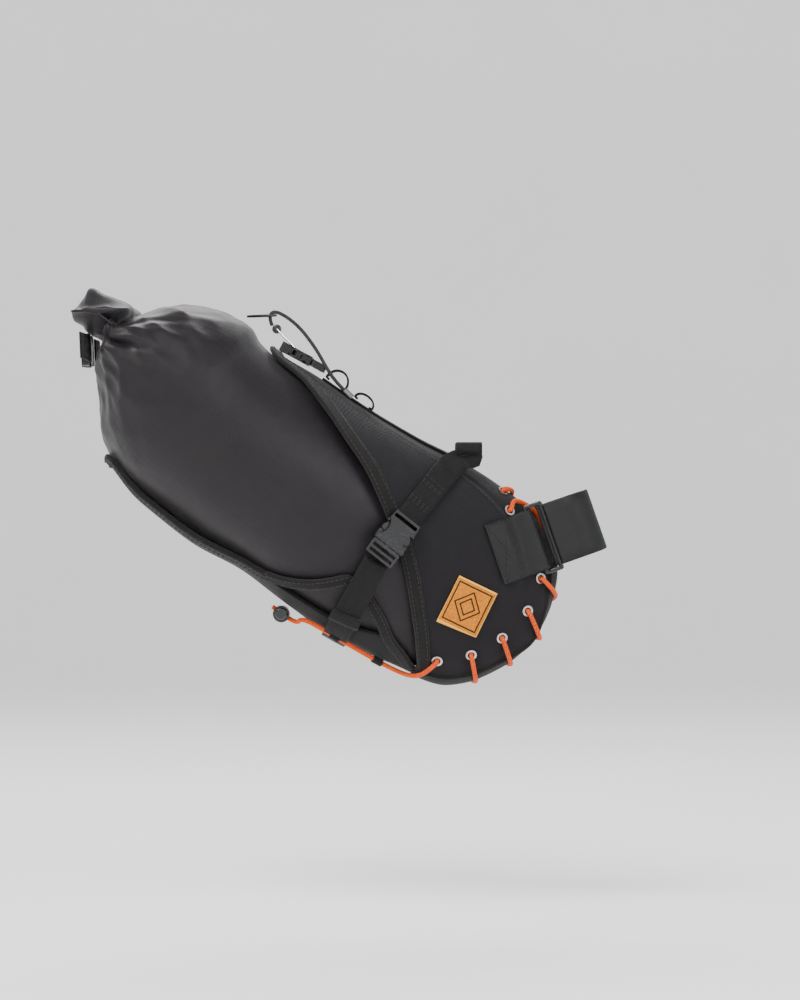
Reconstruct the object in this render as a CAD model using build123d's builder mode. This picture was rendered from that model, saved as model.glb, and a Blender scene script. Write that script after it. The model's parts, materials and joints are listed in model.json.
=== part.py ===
from build123d import *

import os
from math import ceil, cos, hypot, radians, sin, sqrt, tan

# Bikepacking saddle bag: a stiff laced holster, hung from the saddle rails and strapped to the seatpost,
# that carries a removable roll-top dry bag.
#
# Frame, in millimetres: origin on the seatpost's axis at the middle of its strap, +X towards the front
# wheel, +Y to the rider's left, +Z up. The bag rises to the rear, and most shapes are placed in its own
# frame: s runs rearward and up along the bag, v is across it in the side view, and y is sideways.

# ---- Driving dimensions -----------------------------------------------------------------------------------
BAG_ANGLE = 38.0  # rise of the bag's own axis, degrees above the horizontal
POST_TILT = 19.15  # seatpost's lean rearward from vertical, degrees
POST_RADIUS = 13.6  # 27.2 mm seatpost
RAIL_RADIUS = 3.5  # 7 mm saddle rail
WEB_WIDTH = 20.0  # webbing and buckles
WEB_THICK = 1.6
WALL = 1.6  # laminated fabric panel
BOARD = 2.5  # stiffened tongue
TRIM = 1.0  # how far a sewn binding stands proud of its panel
BINDING_WIDTH = 10.0
PIPE_WIDTH = 3.0
GUSSET_HALF = 11.0  # front gusset, half its width
TOP_HALF = 22.0  # top panel, half its width
SEAM = 0.1  # half the gap between sewn panels
GAP = 0.3  # clearance between pieces that move on each other
CORD_RADIUS = 1.8  # lace
POST_STRAP_WIDTH = 48.0
POST_STRAP_THICK = 2.2
SLIDE_OUT = 320.0  # travel that takes the dry bag clear of the holster

STATION_STEP = 16.0  # longest distance between two sections of a loft

# Ellipses across the bag's axis: s, centre v, half height, half width
HOLSTER = [
    (-28, -89, 15, 12),
    (-22, -88, 32, 15),
    (-10, -88.5, 54.5, 20),
    (7, -90, 69, 26),
    (34, -89, 78, 35),
    (62, -92, 82, 43),
    (94, -97, 84, 52),
    (134, -102, 81, 61),
    (179, -105.5, 78.5, 69),
    (224, -110.5, 80.5, 74),
    (262, -112.5, 78.5, 76),
    (318, -112.5, 77.5, 77),
]
DRY_BAG = [
    (26, -107, 38, 10),
    (32, -105.5, 50, 17.5),
    (44, -104, 60.5, 27),
    (62, -104, 65.5, 37),
    (94, -107, 69.5, 46.5),
    (134, -108.3, 71, 56),
    (179, -108.7, 71.2, 64.5),
    (224, -110.5, 73, 70.5),
    (262, -111, 73.5, 73),
    (279, -111.2, 73.6, 75),
    (294, -106.3, 77.6, 76.3),
    (310, -106.5, 73.5, 77),
    (326, -106, 66, 78),
    (342, -102, 52, 79),
    (354, -103, 40, 79.5),
    (363, -105, 27, 79),
]

# Rear edge of the side panels in the side view (x, z), from the top ridge down to the bottom
RIM = [
    (-236, 150),
    (-229, 131),
    (-210, 115),
    (-193, 94),
    (-174, 66),
    (-155, 35),
    (-133, -21),
    (-123, -75),
    (-120, -108),
]

# Half outline of the tongue seen along v (s, y), from its front end to its rear tip
WING = [(30, 11.6), (42, 19.4), (56, 26.7), (69, 34.6), (84, 42), (96, 46.7), (108, 50), (118, 50.5)]
WING += [(140, 42.5), (161, 34), (180, 31)]

# Lace eyelets (s, v) on each side, from the bottom round to the top
EYELETS = [(19.8, -145.8), (2.2, -126.2), (-8.4, -101.4), (-11.2, -73.1), (-3.8, -47.4)]
EYELETS += [(47, -21.1), (60, -12.3)]
# Where each stitch of the lace crosses the middle of the edge (s, v), one below each eyelet
CROSSINGS = [(26, -168), (-12, -139), (-24, -112), (-28, -84), (-21, -52), (28, -13), (54, -10)]
EYELET_BORE = 2.75
EYELET_FLANGE = 4.2
CORD_BEND = (2.0, 6.0)  # tightest and widest bend of a cord


# ---- The bag's own frame ----------------------------------------------------------------------------------
REARWARD = Vector(-cos(radians(BAG_ANGLE)), 0, sin(radians(BAG_ANGLE)))
ACROSS = Vector(sin(radians(BAG_ANGLE)), 0, cos(radians(BAG_ANGLE)))
POST_UP = Vector(-sin(radians(POST_TILT)), 0, cos(radians(POST_TILT)))
POST_FORWARD = Vector(cos(radians(POST_TILT)), 0, sin(radians(POST_TILT)))


def at(s, v, y=0.0):
    """The point at (s, v, y) of the bag's own frame."""
    return REARWARD * s + ACROSS * v + Vector(0, y, 0)


def side_view(s, v):
    """(x, z) of a place given as (s, v)."""
    point = at(s, v)
    return point.X, point.Z


def slopes(table):
    """Slope of each column at each row of a table, level at a turning point so that nothing overshoots."""
    steps = [[(b[k] - a[k]) / (b[0] - a[0]) for k in (1, 2, 3)] for a, b in zip(table, table[1:])]
    inner = [
        [2 * p * q / (p + q) if p * q > 0 else 0.0 for p, q in zip(before, after)]
        for before, after in zip(steps, steps[1:])
    ]
    return [steps[0], *inner, steps[-1]]


SLOPES = {id(table): slopes(table) for table in (HOLSTER, DRY_BAG)}


def section(s, table=HOLSTER):
    """Centre, half height and half width of a table's ellipse at s, on a smooth curve through its rows."""
    i = max(0, min(len(table) - 2, sum(row[0] <= s for row in table) - 1))
    low, high = table[i], table[i + 1]
    span = high[0] - low[0]
    t = min(1.0, max(0.0, (s - low[0]) / span))
    rises = SLOPES[id(table)]
    return [
        low[k + 1] * (1 + 2 * t) * (1 - t) ** 2
        + high[k + 1] * (3 - 2 * t) * t**2
        + span * t * (1 - t) * (rises[i][k] * (1 - t) - rises[i + 1][k] * t)
        for k in range(3)
    ]


def fullness(s, v, y):
    """1 on the holster's skin, less inside and more outside."""
    centre, height, width = section(s)
    return max(sqrt(((v - centre) / height) ** 2 + (y / width) ** 2), 1 + (HOLSTER[0][0] - s) / 20)


def on_skin(s, v, y, lift=0.0):
    """The point of the holster's skin nearest to (s, v, y), moved outward by lift, and the outward normal."""
    step = 0.25
    for _ in range(12):
        here = fullness(s, v, y)
        slope = (
            (fullness(s + step, v, y) - fullness(s - step, v, y)) / (2 * step),
            (fullness(s, v + step, y) - fullness(s, v - step, y)) / (2 * step),
            (fullness(s, v, y + step) - fullness(s, v, y - step)) / (2 * step),
        )
        square = sum(g * g for g in slope)
        s, v, y = (p - (here - 1) * g / square for p, g in zip((s, v, y), slope))
    normal = (at(slope[0], slope[1], slope[2])).normalized()
    return at(s, v, y) + normal * lift, normal


def skin_y(s, v):
    """Half the holster's width at (s, v)."""
    centre, height, width = section(s)
    return width * sqrt(max(0.0, 1 - ((v - centre) / height) ** 2))


def stations(table):
    """Places along a table for its loft's sections, close enough together to follow the smooth curve."""
    places = [table[0][0]]
    for low, high in zip(table, table[1:]):
        count = ceil((high[0] - low[0]) / STATION_STEP)
        places += [low[0] + (high[0] - low[0]) * k / count for k in range(1, count + 1)]
    return places


def envelope(table, grow=0.0):
    """Solid through a table's ellipses, each grown outward by grow."""
    places = stations(table)
    with BuildPart(mode=Mode.PRIVATE) as body:
        for s in places:
            centre, height, width = section(s, table)
            if s == places[0]:
                s -= grow
            elif s == places[-1]:
                s += abs(grow)
            with BuildSketch(Plane(origin=at(s, centre), x_dir=ACROSS, z_dir=REARWARD)):
                Ellipse(height + grow, width + grow)
        loft(ruled=True)
    return body.part


def slab(points, near, far, smooth=()):
    """A side-view outline (x, z) extruded from y = -near to -far. It starts as a spline through smooth."""
    with BuildPart(mode=Mode.PRIVATE) as body:
        with BuildSketch(Plane.XZ.offset(near)):
            with BuildLine():
                if smooth:
                    Spline(*smooth)
                    Polyline(smooth[-1], *points, smooth[0])
                else:
                    Polyline(*points, points[0])
            make_face()
        extrude(amount=far - near)
    return body.part


def band_points(start, end, half):
    """Corners of a straight band in the side view, from (x, z) start to end."""
    along = Vector(end[0] - start[0], end[1] - start[1]).normalized()
    side = Vector(-along.Y, along.X) * half
    corners = [(start, 1), (end, 1), (end, -1), (start, -1)]
    return [(p[0] + side.X * k, p[1] + side.Y * k) for p, k in corners]


def shifted(points, distance):
    """The points moved to the right of their line by distance."""
    moved = []
    for i, (x, z) in enumerate(points):
        before, after = points[max(i - 1, 0)], points[min(i + 1, len(points) - 1)]
        along_x, along_z = after[0] - before[0], after[1] - before[1]
        scaled = distance / hypot(along_x, along_z)
        moved.append((x - along_z * scaled, z + along_x * scaled))
    return moved


def layer(inner, outer, cutter):
    """The part of the layer between two envelopes that lies inside cutter."""
    with BuildPart(mode=Mode.PRIVATE) as body:
        add(outer)
        add(inner, mode=Mode.SUBTRACT)
        add(cutter, mode=Mode.INTERSECT)
    return body.part


def save(piece, name):
    """Labels a finished piece and writes it as its own STEP file."""
    piece.label = name
    export_step(piece, f"parts/{name}.step")


def save_pair(right_piece, name):
    """Writes a right-hand piece and its mirror image."""
    save(mirror(right_piece, about=Plane.XZ), f"{name}_left")
    save(right_piece, f"{name}_right")


os.makedirs("parts", exist_ok=True)

# ---- Envelopes that the sewn layers are cut from ----------------------------------------------------------
skin = envelope(HOLSTER)
lining = envelope(HOLSTER, -WALL)
board_inside = envelope(HOLSTER, -BOARD)
touching = envelope(HOLSTER, 0.1)
trim_top = envelope(HOLSTER, TRIM)
pipe_top = envelope(HOLSTER, 1.6)
strap_under = envelope(HOLSTER, TRIM + 0.2)
strap_top = envelope(HOLSTER, TRIM + 0.2 + WEB_THICK)
tail_under = envelope(HOLSTER, TRIM + 0.4 + WEB_THICK)
tail_top = envelope(HOLSTER, TRIM + 0.4 + 2 * WEB_THICK)
keeper_top = envelope(HOLSTER, TRIM + 1.8 + 2 * WEB_THICK)

# ---- Holster: side panels, top panel, front gusset --------------------------------------------------------
REACH = 130.0  # beyond the bag on every side
bottom_seam = [side_view(29.5, -165), side_view(29.5, -230)]
front_box = [(60, -190), (60, 200)]
panel_edge = shifted(RIM, 1.0)
panel_zone = slab(bottom_seam + front_box + [(-230, 200)], -REACH, REACH, smooth=panel_edge)

top_zone = slab([side_view(*p) for p in ((-6, -60), (280, -60), (280, 40), (-6, 40))], -TOP_HALF, TOP_HALF)
low_outline = [side_view(*p) for p in ((29.5, -60), (29.5, -230), (-60, -230), (-60, -60))]
high_outline = [side_view(*p) for p in ((-6, -60.2), (-6, 40), (-60, 40), (-60, -60.2))]
gusset_low = slab(low_outline, -GUSSET_HALF, GUSSET_HALF)
gusset_high = slab(high_outline, -GUSSET_HALF, GUSSET_HALF)


def eyelet_plane(s, v, hand):
    """Plane on the holster's skin at an eyelet, its normal pointing outward. hand is -1 right, 1 left."""
    point, normal = on_skin(s, v, hand * skin_y(s, v))
    return Plane(origin=point, x_dir=Vector(0, 1, 0).cross(normal), z_dir=normal)


def eyelet_drills(hand):
    """Cylinders through the panels at one side's eyelets."""
    with BuildPart(mode=Mode.PRIVATE) as drills:
        for s, v in EYELETS:
            with BuildSketch(eyelet_plane(s, v, hand)):
                Circle(EYELET_BORE + 0.7)
            extrude(amount=6, both=True)
    return drills.part


drills_right = eyelet_drills(-1)
drills_left = eyelet_drills(1)

with BuildPart() as holster_top_panel:
    add(layer(lining, skin, panel_zone))
    add(top_zone, mode=Mode.INTERSECT)
    add(drills_right, mode=Mode.SUBTRACT)
    add(drills_left, mode=Mode.SUBTRACT)
save(holster_top_panel.part, "holster_top_panel")

with BuildPart() as holster_front_gusset:
    add(gusset_low)
    add(gusset_high)
    add(skin, mode=Mode.INTERSECT)
    add(lining, mode=Mode.SUBTRACT)
save(holster_front_gusset.part, "holster_front_gusset")

with BuildPart() as seam_zone:
    for zone, half in ((top_zone, TOP_HALF), (gusset_low, GUSSET_HALF), (gusset_high, GUSSET_HALF)):
        add(scale(zone, by=(1, 1 + SEAM / half, 1), mode=Mode.PRIVATE))
with BuildPart() as holster_side_right:
    add(layer(lining, skin, panel_zone))
    add(slab([(-400, -300), (150, -300), (150, 300), (-400, 300)], 0, REACH), mode=Mode.INTERSECT)
    add(seam_zone.part, mode=Mode.SUBTRACT)
    add(drills_right, mode=Mode.SUBTRACT)
save_pair(holster_side_right.part, "holster_side")

# Binding sewn over the panels' rear edge, in two halves that meet on the ridge
binding_zone = slab(shifted(RIM, BINDING_WIDTH)[::-1], SEAM, REACH, smooth=RIM)
with BuildPart() as rim_binding_right:
    add(trim_top)
    add(lining, mode=Mode.SUBTRACT)
    add(binding_zone, mode=Mode.INTERSECT)
    add(panel_zone.intersect(skin), mode=Mode.SUBTRACT)
    with BuildSketch(Plane(origin=at(0, -300), x_dir=REARWARD, z_dir=ACROSS)) as above_bottom_seam:
        with Locations((150, 0)):
            Rectangle(239, 300)
    extrude(amount=400, mode=Mode.INTERSECT)
save_pair(rim_binding_right.part, "rim_binding")

# Piping along both edges of the front gusset
pipe_corners = ((29.5, -100), (29.5, -230), (-80, -230), (-80, 40), (-6, 40), (-6, -100))
pipe_outline = [side_view(*p) for p in pipe_corners]
pipe_zone = slab(pipe_outline, GUSSET_HALF - PIPE_WIDTH / 2, GUSSET_HALF + PIPE_WIDTH / 2)
with BuildPart() as front_piping_right:
    add(layer(touching, pipe_top, pipe_zone))
save_pair(front_piping_right.part, "front_piping")

# ---- Tongue: stiffened bottom panel with wings, and its binding -------------------------------------------
PLAN = Plane(origin=at(0, -240), x_dir=REARWARD, z_dir=ACROSS)
WING_TOP = 122.0  # height of the plan-view prism, to above the wing tips


def tongue_prism(inset):
    """The tongue's outline seen along v, drawn in by inset, as a prism through the holster's lower half."""
    wing = shifted(WING, -inset)
    rear = [(180, 31 - inset), (306, 28 - inset), (316 - inset, 20 - inset / 2)]
    wing[0] = (30 + inset / 2, wing[0][1])
    wing[-1] = rear[0]
    with BuildPart(mode=Mode.PRIVATE) as prism:
        with BuildSketch(PLAN):
            with BuildLine():
                for hand in (1, -1):
                    Spline(*[(s, y * hand) for s, y in wing])
                    Polyline(*[(s, y * hand) for s, y in rear])
                Line((wing[0][0], wing[0][1]), (wing[0][0], -wing[0][1]))
                Line((rear[-1][0], rear[-1][1]), (rear[-1][0], -rear[-1][1]))
            make_face()
        extrude(amount=WING_TOP)
    return prism.part


with BuildPart() as holster_tongue:
    add(layer(board_inside, skin, tongue_prism(0)))
save(holster_tongue.part, "holster_tongue")

with BuildPart() as tongue_binding:
    add(layer(touching, trim_top, tongue_prism(0)))
    add(tongue_prism(8.0), mode=Mode.SUBTRACT)
save(tongue_binding.part, "tongue_binding")

# ---- Lacing: eyelets, the lace, its tabs and its cord lock ------------------------------------------------
with BuildPart() as eyelets_right:
    for s, v in EYELETS:
        plane = eyelet_plane(s, v, -1)
        with BuildSketch(plane.offset(-WALL - 0.5)):
            Circle(EYELET_BORE + 0.6)
            Circle(EYELET_BORE, mode=Mode.SUBTRACT)
        extrude(amount=WALL + 1.1)
        with BuildSketch(plane.offset(0.1)):
            Circle(EYELET_FLANGE)
            Circle(EYELET_BORE, mode=Mode.SUBTRACT)
        extrude(amount=0.5)
    for panel in (holster_side_right.part, holster_top_panel.part):
        add(panel, mode=Mode.SUBTRACT)
save_pair(eyelets_right.part, "eyelets")

EYELET_OUT = 3.0  # the lace's centre above the skin, over an eyelet's flange
EYELET_IN = 5.0  # and below it, inside
PIPE_OVER = 4.9  # above the skin where it crosses the piping
PIPE_CLEAR = Vector(0, 2.8, 0)  # and further out to the side
OVER = 2.9  # and elsewhere outside
UNDER = 3.5  # above the tongue's skin
# The two uppermost stitches cross the top panel, the second one behind the seatpost (s, v, y)
TOP_STITCHES = {6: [(54, -9, 0), (52, -12, 13)]}
TOP_STITCHES[5] = [(50, -13, -14), (36, -13, -4), (25, -16, 1.5), (14, -23, 7), (2, -31, 10.5), (-2, -42, 14)]


def over_edge(eyelet, crossing, y, lift):
    """The point above the skin at y where the line from an eyelet to a crossing leaves the skin."""
    low, high = 0.0, 2.0
    for _ in range(30):
        t = (low + high) / 2
        s, v = (start + (end - start) * t for start, end in zip(eyelet, crossing))
        if fullness(s, v, y) < 1:
            low = t
        else:
            high = t
    return on_skin(s, v, y, lift)[0]


def lace_route():
    """Points of the lace: across inside at each pair of eyelets, then round the edge outside to the next."""
    points = []
    for i in reversed(range(len(EYELETS))):
        s, v = EYELETS[i]
        for hand in (1, -1):
            point, normal = on_skin(s, v, hand * skin_y(s, v))
            ends = [point + normal * EYELET_OUT, point - normal * EYELET_IN]
            points += ends if hand == 1 else ends[::-1]
        if i in TOP_STITCHES:
            points += [on_skin(*place, OVER)[0] for place in TOP_STITCHES[i]]
        elif i:
            points.append(over_edge(EYELETS[i], CROSSINGS[i], -GUSSET_HALF, PIPE_OVER) - PIPE_CLEAR)
            points.append(over_edge(EYELETS[i], CROSSINGS[i], 0.0, OVER))
            points.append(over_edge(EYELETS[i - 1], CROSSINGS[i], GUSSET_HALF, PIPE_OVER) + PIPE_CLEAR)
    return points


# The run from the last eyelet, round the bottom edge and along under the tongue to the cord lock (s, y)
UNDER_RUN = [(30, -7), (47, -9), (62, -13), (82, -17), (104, -18), (122, -13)]
LOCK_S = 136.0
route = lace_route()
route.append(over_edge(EYELETS[0], CROSSINGS[0], -GUSSET_HALF, PIPE_OVER) - PIPE_CLEAR)
for run_s, run_y in UNDER_RUN:
    route.append(on_skin(run_s, -178, run_y, UNDER)[0])
lock_centre = on_skin(LOCK_S, -184, -6, 8.5)[0]
route += [lock_centre - REARWARD * 14, lock_centre + REARWARD * 9]


def corner_radii(points):
    """The largest arcs that the runs leave room for, within the cord's own limits."""
    radii = []
    for before, here, after in zip(points, points[1:], points[2:]):
        turn = radians((here - before).get_angle(after - here))
        shorter = min((here - before).length, (after - here).length)
        radii.append(max(CORD_BEND[0], min(CORD_BEND[1], 0.35 * shorter / tan(turn / 2))))
    return radii


lace_radii = corner_radii(route)
with BuildPart() as lace_cord:
    with BuildLine() as lace_path:
        FilletPolyline(*route, radius=lace_radii)
    with BuildSketch(Plane(origin=route[0], z_dir=route[1] - route[0])):
        Circle(CORD_RADIUS)
    sweep()
lace_length = sum(edge.length for edge in lace_path.line.edges())
print("lace length", round(lace_length))
save(lace_cord.part, "lace_cord")

# Webbing tabs on the tongue's edge that hold the lace: each a short tube sewn flat on the binding
TAB_PLACES = [(62, -13), (104, -18)]
with BuildPart() as lace_tabs:
    for tab_s, tab_y in TAB_PLACES:
        i = next(k for k, p in enumerate(UNDER_RUN) if p == (tab_s, tab_y))
        before, here = (on_skin(s, -178, y, UNDER)[0] for s, y in (UNDER_RUN[i - 1], UNDER_RUN[i]))
        with BuildSketch(Plane(origin=(before + here) / 2, z_dir=here - before)):
            Circle(CORD_RADIUS + 0.4 + WEB_THICK / 2)
            Circle(CORD_RADIUS + 0.35, mode=Mode.SUBTRACT)
        extrude(amount=4, both=True)
    add(trim_top, mode=Mode.SUBTRACT)
save(lace_tabs.part, "lace_tabs")

# Cord lock: barrel across the lace, with a sprung button at its right end
LOCK_BARREL = 6.5
LOCK_BORE = 5.0
LOCK_PLUNGER = 4.6
LOCK_LENGTH = 16.0
LOCK_TRAVEL = 3.0
lock_plane = Plane(origin=lock_centre, x_dir=REARWARD, z_dir=Vector(0, -1, 0))
with BuildPart() as cord_lock_barrel:
    with BuildSketch(lock_plane.offset(-LOCK_LENGTH / 2 - 2)):
        Circle(LOCK_BARREL)
    extrude(amount=LOCK_LENGTH)
    with BuildSketch(lock_plane.offset(-LOCK_LENGTH / 2)):
        Circle(LOCK_BORE)
    extrude(amount=LOCK_LENGTH, mode=Mode.SUBTRACT)
    with BuildSketch(Plane(origin=lock_centre, z_dir=REARWARD)):
        Circle(CORD_RADIUS + 0.4)
    extrude(amount=20, both=True, mode=Mode.SUBTRACT)
save(cord_lock_barrel.part, "cord_lock_barrel")

with BuildPart() as cord_lock_button:
    with BuildSketch(lock_plane.offset(-3.4)):
        Circle(LOCK_PLUNGER)
    extrude(amount=13.4)
    fillet(cord_lock_button.edges().sort_by(Axis.Y)[0], 0.8)
    with BuildSketch(Plane(origin=lock_centre, x_dir=Vector(0, 1, 0), z_dir=REARWARD)):
        with Locations((-LOCK_TRAVEL / 2, 0)):
            SlotOverall(2 * CORD_RADIUS + 0.8 + LOCK_TRAVEL, 2 * CORD_RADIUS + 0.8)
    extrude(amount=20, both=True, mode=Mode.SUBTRACT)
save(cord_lock_button.part, "cord_lock_button")

SPRING_WIRE = 0.45
with BuildPart() as cord_lock_spring:
    with BuildLine() as coil:
        spring_foot = lock_plane.from_local_coords((0, 0, -LOCK_LENGTH / 2 + SPRING_WIRE + 0.1))
        Helix(pitch=1.2, height=3.4, radius=3.2, center=spring_foot, direction=lock_plane.z_dir)
    with BuildSketch(Plane(origin=coil.line @ 0, z_dir=coil.line % 0)):
        Circle(SPRING_WIRE)
    sweep(is_frenet=True)
save(cord_lock_spring.part, "cord_lock_spring")


# ---- Side-release buckle for 20 mm webbing ----------------------------------------------------------------
# In a buckle's own plane x runs from the socket half towards the plug half, y across the webbing and z
# outward. The mouth of the socket is at x = 0 and the socket half reaches back to x = -BUCKLE_LENGTH.
BUCKLE_LENGTH = 26.0
BUCKLE_THICK = 7.5
PLUG_LENGTH = 12.0
PLUG_GAP = 0.5
ARM_REACH = 16.0


def buckle_socket(plane):
    """The female half: a waisted socket with a side window for each arm and a bar for the webbing."""
    with BuildPart(mode=Mode.PRIVATE) as body:
        with BuildSketch(plane.offset(-BUCKLE_THICK / 2)):
            with BuildLine():
                Polyline((-18, 12), (-BUCKLE_LENGTH, 11.2), (-BUCKLE_LENGTH, -11.2), (-18, -12))
                Polyline((-18, -12), (-16.5, -13), (0, -13), (0, 13), (-16.5, 13), (-18, 12))
            make_face()
        extrude(amount=BUCKLE_THICK)
        with BuildSketch(plane.offset(-2.1)):
            with Locations((-8.5, 0)):
                Rectangle(21, 20.8)
        extrude(amount=4.2, mode=Mode.SUBTRACT)
        with BuildSketch(plane.offset(-2.1)):
            with Locations((-11.7, 0)):
                Rectangle(8.4, 40)
        extrude(amount=4.2, mode=Mode.SUBTRACT)
        with BuildSketch(plane.offset(-BUCKLE_THICK)):
            with Locations((-22.4, 0)):
                RectangleRounded(2.8, WEB_WIDTH + 0.8, 0.6)
        extrude(amount=2 * BUCKLE_THICK, mode=Mode.SUBTRACT)
        for face in (-BUCKLE_THICK / 2, 2.1):
            with BuildSketch(plane.offset(face)):
                with Locations((-11, 17.2), (-11, -17.2)):
                    Circle(9)
            extrude(amount=BUCKLE_THICK / 2 - 2.1, mode=Mode.SUBTRACT)
    return body.part


def buckle_plug(plane):
    """The male half without its arms: a shoulder with a bar and slots for the webbing, and a centre guide."""
    with BuildPart(mode=Mode.PRIVATE) as body:
        with BuildSketch(plane.offset(-2.75)):
            with Locations((PLUG_GAP + PLUG_LENGTH / 2, 0)):
                RectangleRounded(PLUG_LENGTH, 24.6, 1.5)
        extrude(amount=5.5)
        with BuildSketch(plane.offset(-10)):
            with Locations((PLUG_GAP + 4.2, 0), (PLUG_GAP + 8.8, 0)):
                RectangleRounded(2.6, WEB_WIDTH + 0.8, 0.6)
        extrude(amount=20, mode=Mode.SUBTRACT)
        with BuildSketch(plane.offset(-1.7)):
            with Locations((PLUG_GAP + 1 - 9.5, 0)):
                RectangleRounded(19, 3.4, 0.8)
        extrude(amount=3.4)
    return body.part


def buckle_arm(plane, hand):
    """One arm of the plug, with the catch that shows in the socket's window. hand is 1 or -1 in y."""
    with BuildPart(mode=Mode.PRIVATE) as body:
        with BuildSketch(plane.offset(-1.7)):
            with BuildLine():
                Polyline((0, 7.0), (0, 9.6), (-7.9, 9.6), (-8.6, 12.6), (-11.5, 12.6))
                Polyline((-11.5, 12.6), (-14.4, 10.8), (-ARM_REACH, 8.6), (-ARM_REACH, 7.0), (0, 7.0))
            make_face()
            if hand < 0:
                mirror(about=Plane.XZ, mode=Mode.REPLACE)
        extrude(amount=3.4)
    return body.part


def save_buckle(name, plane, mirrored=False):
    """Writes the four pieces of one buckle, or of its mirror image in the bag's middle plane."""
    pieces = {
        "socket": buckle_socket(plane),
        "plug": buckle_plug(plane),
        "arm_a": buckle_arm(plane, 1),
        "arm_b": buckle_arm(plane, -1),
    }
    for kind, piece in pieces.items():
        save(mirror(piece, about=Plane.XZ) if mirrored else piece, name.format(kind))


# ---- Side straps: rail strap, buckle, cinch strap and keeper on each side ---------------------------------
BUCKLE_MIDDLE = (-136.8, -3.2)  # of the right socket in the side view (x, z)
BUCKLE_AIM = (-0.62, -0.785)  # direction of the strap there, downward
buckle_s = BUCKLE_MIDDLE[0] * REARWARD.X + BUCKLE_MIDDLE[1] * REARWARD.Z
buckle_v = BUCKLE_MIDDLE[0] * ACROSS.X + BUCKLE_MIDDLE[1] * ACROSS.Z
middle, outward = on_skin(buckle_s, buckle_v, -skin_y(buckle_s, buckle_v), TRIM + 0.7 + BUCKLE_THICK / 2)
aim = Vector(BUCKLE_AIM[0], 0, BUCKLE_AIM[1])
pull = (aim - outward * aim.dot(outward)).normalized()
side_buckle_plane = Plane(origin=middle + pull * BUCKLE_LENGTH / 2, x_dir=pull, z_dir=outward)
save_buckle("side_buckle_{}_right", side_buckle_plane)
save_buckle("side_buckle_{}_left", side_buckle_plane, mirrored=True)

strap_upper_end = side_buckle_plane.from_local_coords((-BUCKLE_LENGTH - 0.5, 0, 0))
strap_lower_end = side_buckle_plane.from_local_coords((PLUG_GAP + PLUG_LENGTH + 0.5, 0, 0))
RAIL = Vector(-81, -22, 59.5)  # where the strap hangs on the right saddle rail
STRAP_LEAVES = (-97, 44)  # where the rail strap leaves the skin (x, z)
leaves_s = STRAP_LEAVES[0] * REARWARD.X + STRAP_LEAVES[1] * REARWARD.Z
leaves_v = STRAP_LEAVES[0] * ACROSS.X + STRAP_LEAVES[1] * ACROSS.Z
leaves, leaves_normal = on_skin(leaves_s, leaves_v, -25, 1.8)
under_rail = RAIL - Vector(0, 0, RAIL_RADIUS + 0.8)
climb = under_rail - leaves
rail_run = band_points((strap_upper_end.X, strap_upper_end.Z), STRAP_LEAVES, WEB_WIDTH / 2)
with BuildPart() as rail_strap_right:
    add(layer(touching, tail_under, slab(rail_run, 0, REACH)))
    with BuildSketch(Plane(origin=leaves, x_dir=leaves_normal.cross(climb), z_dir=climb)):
        Rectangle(WEB_WIDTH, 2 * WEB_THICK)
    with BuildSketch(Plane(origin=under_rail, x_dir=Vector(1, 0, 0), z_dir=Vector(0, 0, 1))):
        Rectangle(WEB_WIDTH, 2 * WEB_THICK)
    loft(ruled=True)
    with BuildSketch(Plane.YZ.offset(RAIL.X - WEB_WIDTH / 2)):
        with Locations((RAIL.Y, RAIL.Z)):
            Circle(RAIL_RADIUS + WEB_THICK)
    extrude(amount=WEB_WIDTH)
    with BuildSketch(Plane.YZ.offset(RAIL.X - WEB_WIDTH)):
        with Locations((RAIL.Y, RAIL.Z)):
            Circle(RAIL_RADIUS)
    extrude(amount=2 * WEB_WIDTH, mode=Mode.SUBTRACT)
    add(touching, mode=Mode.SUBTRACT)
save_pair(rail_strap_right.part, "rail_strap")

CINCH_START = (strap_lower_end.X, strap_lower_end.Z)
CINCH_END = (-187, -91)  # lower end of the cinch strap (x, z)
CINCH_INNER = 22.0  # the strap ends this far from the middle plane, clear of the lace


def along_cinch(start, end):
    """Start and end of a stretch of the cinch strap in the side view, given as shares of its length."""
    return [[a + (b - a) * t for a, b in zip(CINCH_START, CINCH_END)] for t in (start, end)]


cinch_band = band_points(CINCH_START, CINCH_END, WEB_WIDTH / 2)
tail_band = band_points(*along_cinch(0.02, 0.9), WEB_WIDTH / 2)
with BuildPart() as cinch_strap_right:
    add(layer(strap_under, strap_top, slab(cinch_band, CINCH_INNER, REACH)))
save_pair(cinch_strap_right.part, "cinch_strap")

with BuildPart() as cinch_tail_right:
    add(layer(tail_under, tail_top, slab(tail_band, CINCH_INNER + 3, REACH)))
save_pair(cinch_tail_right.part, "cinch_tail")

keeper_outer = slab(band_points(*along_cinch(0.6, 0.7), WEB_WIDTH / 2 + 2), CINCH_INNER, REACH)
keeper_inner = slab(band_points(*along_cinch(0.5, 0.8), WEB_WIDTH / 2 + 0.3), 0, REACH)
with BuildPart() as strap_keeper_right:
    add(layer(envelope(HOLSTER, TRIM + 0.1), keeper_top, keeper_outer))
    add(layer(skin, envelope(HOLSTER, TRIM + 0.7 + 2 * WEB_THICK), keeper_inner), mode=Mode.SUBTRACT)
save_pair(strap_keeper_right.part, "strap_keeper")

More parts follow.
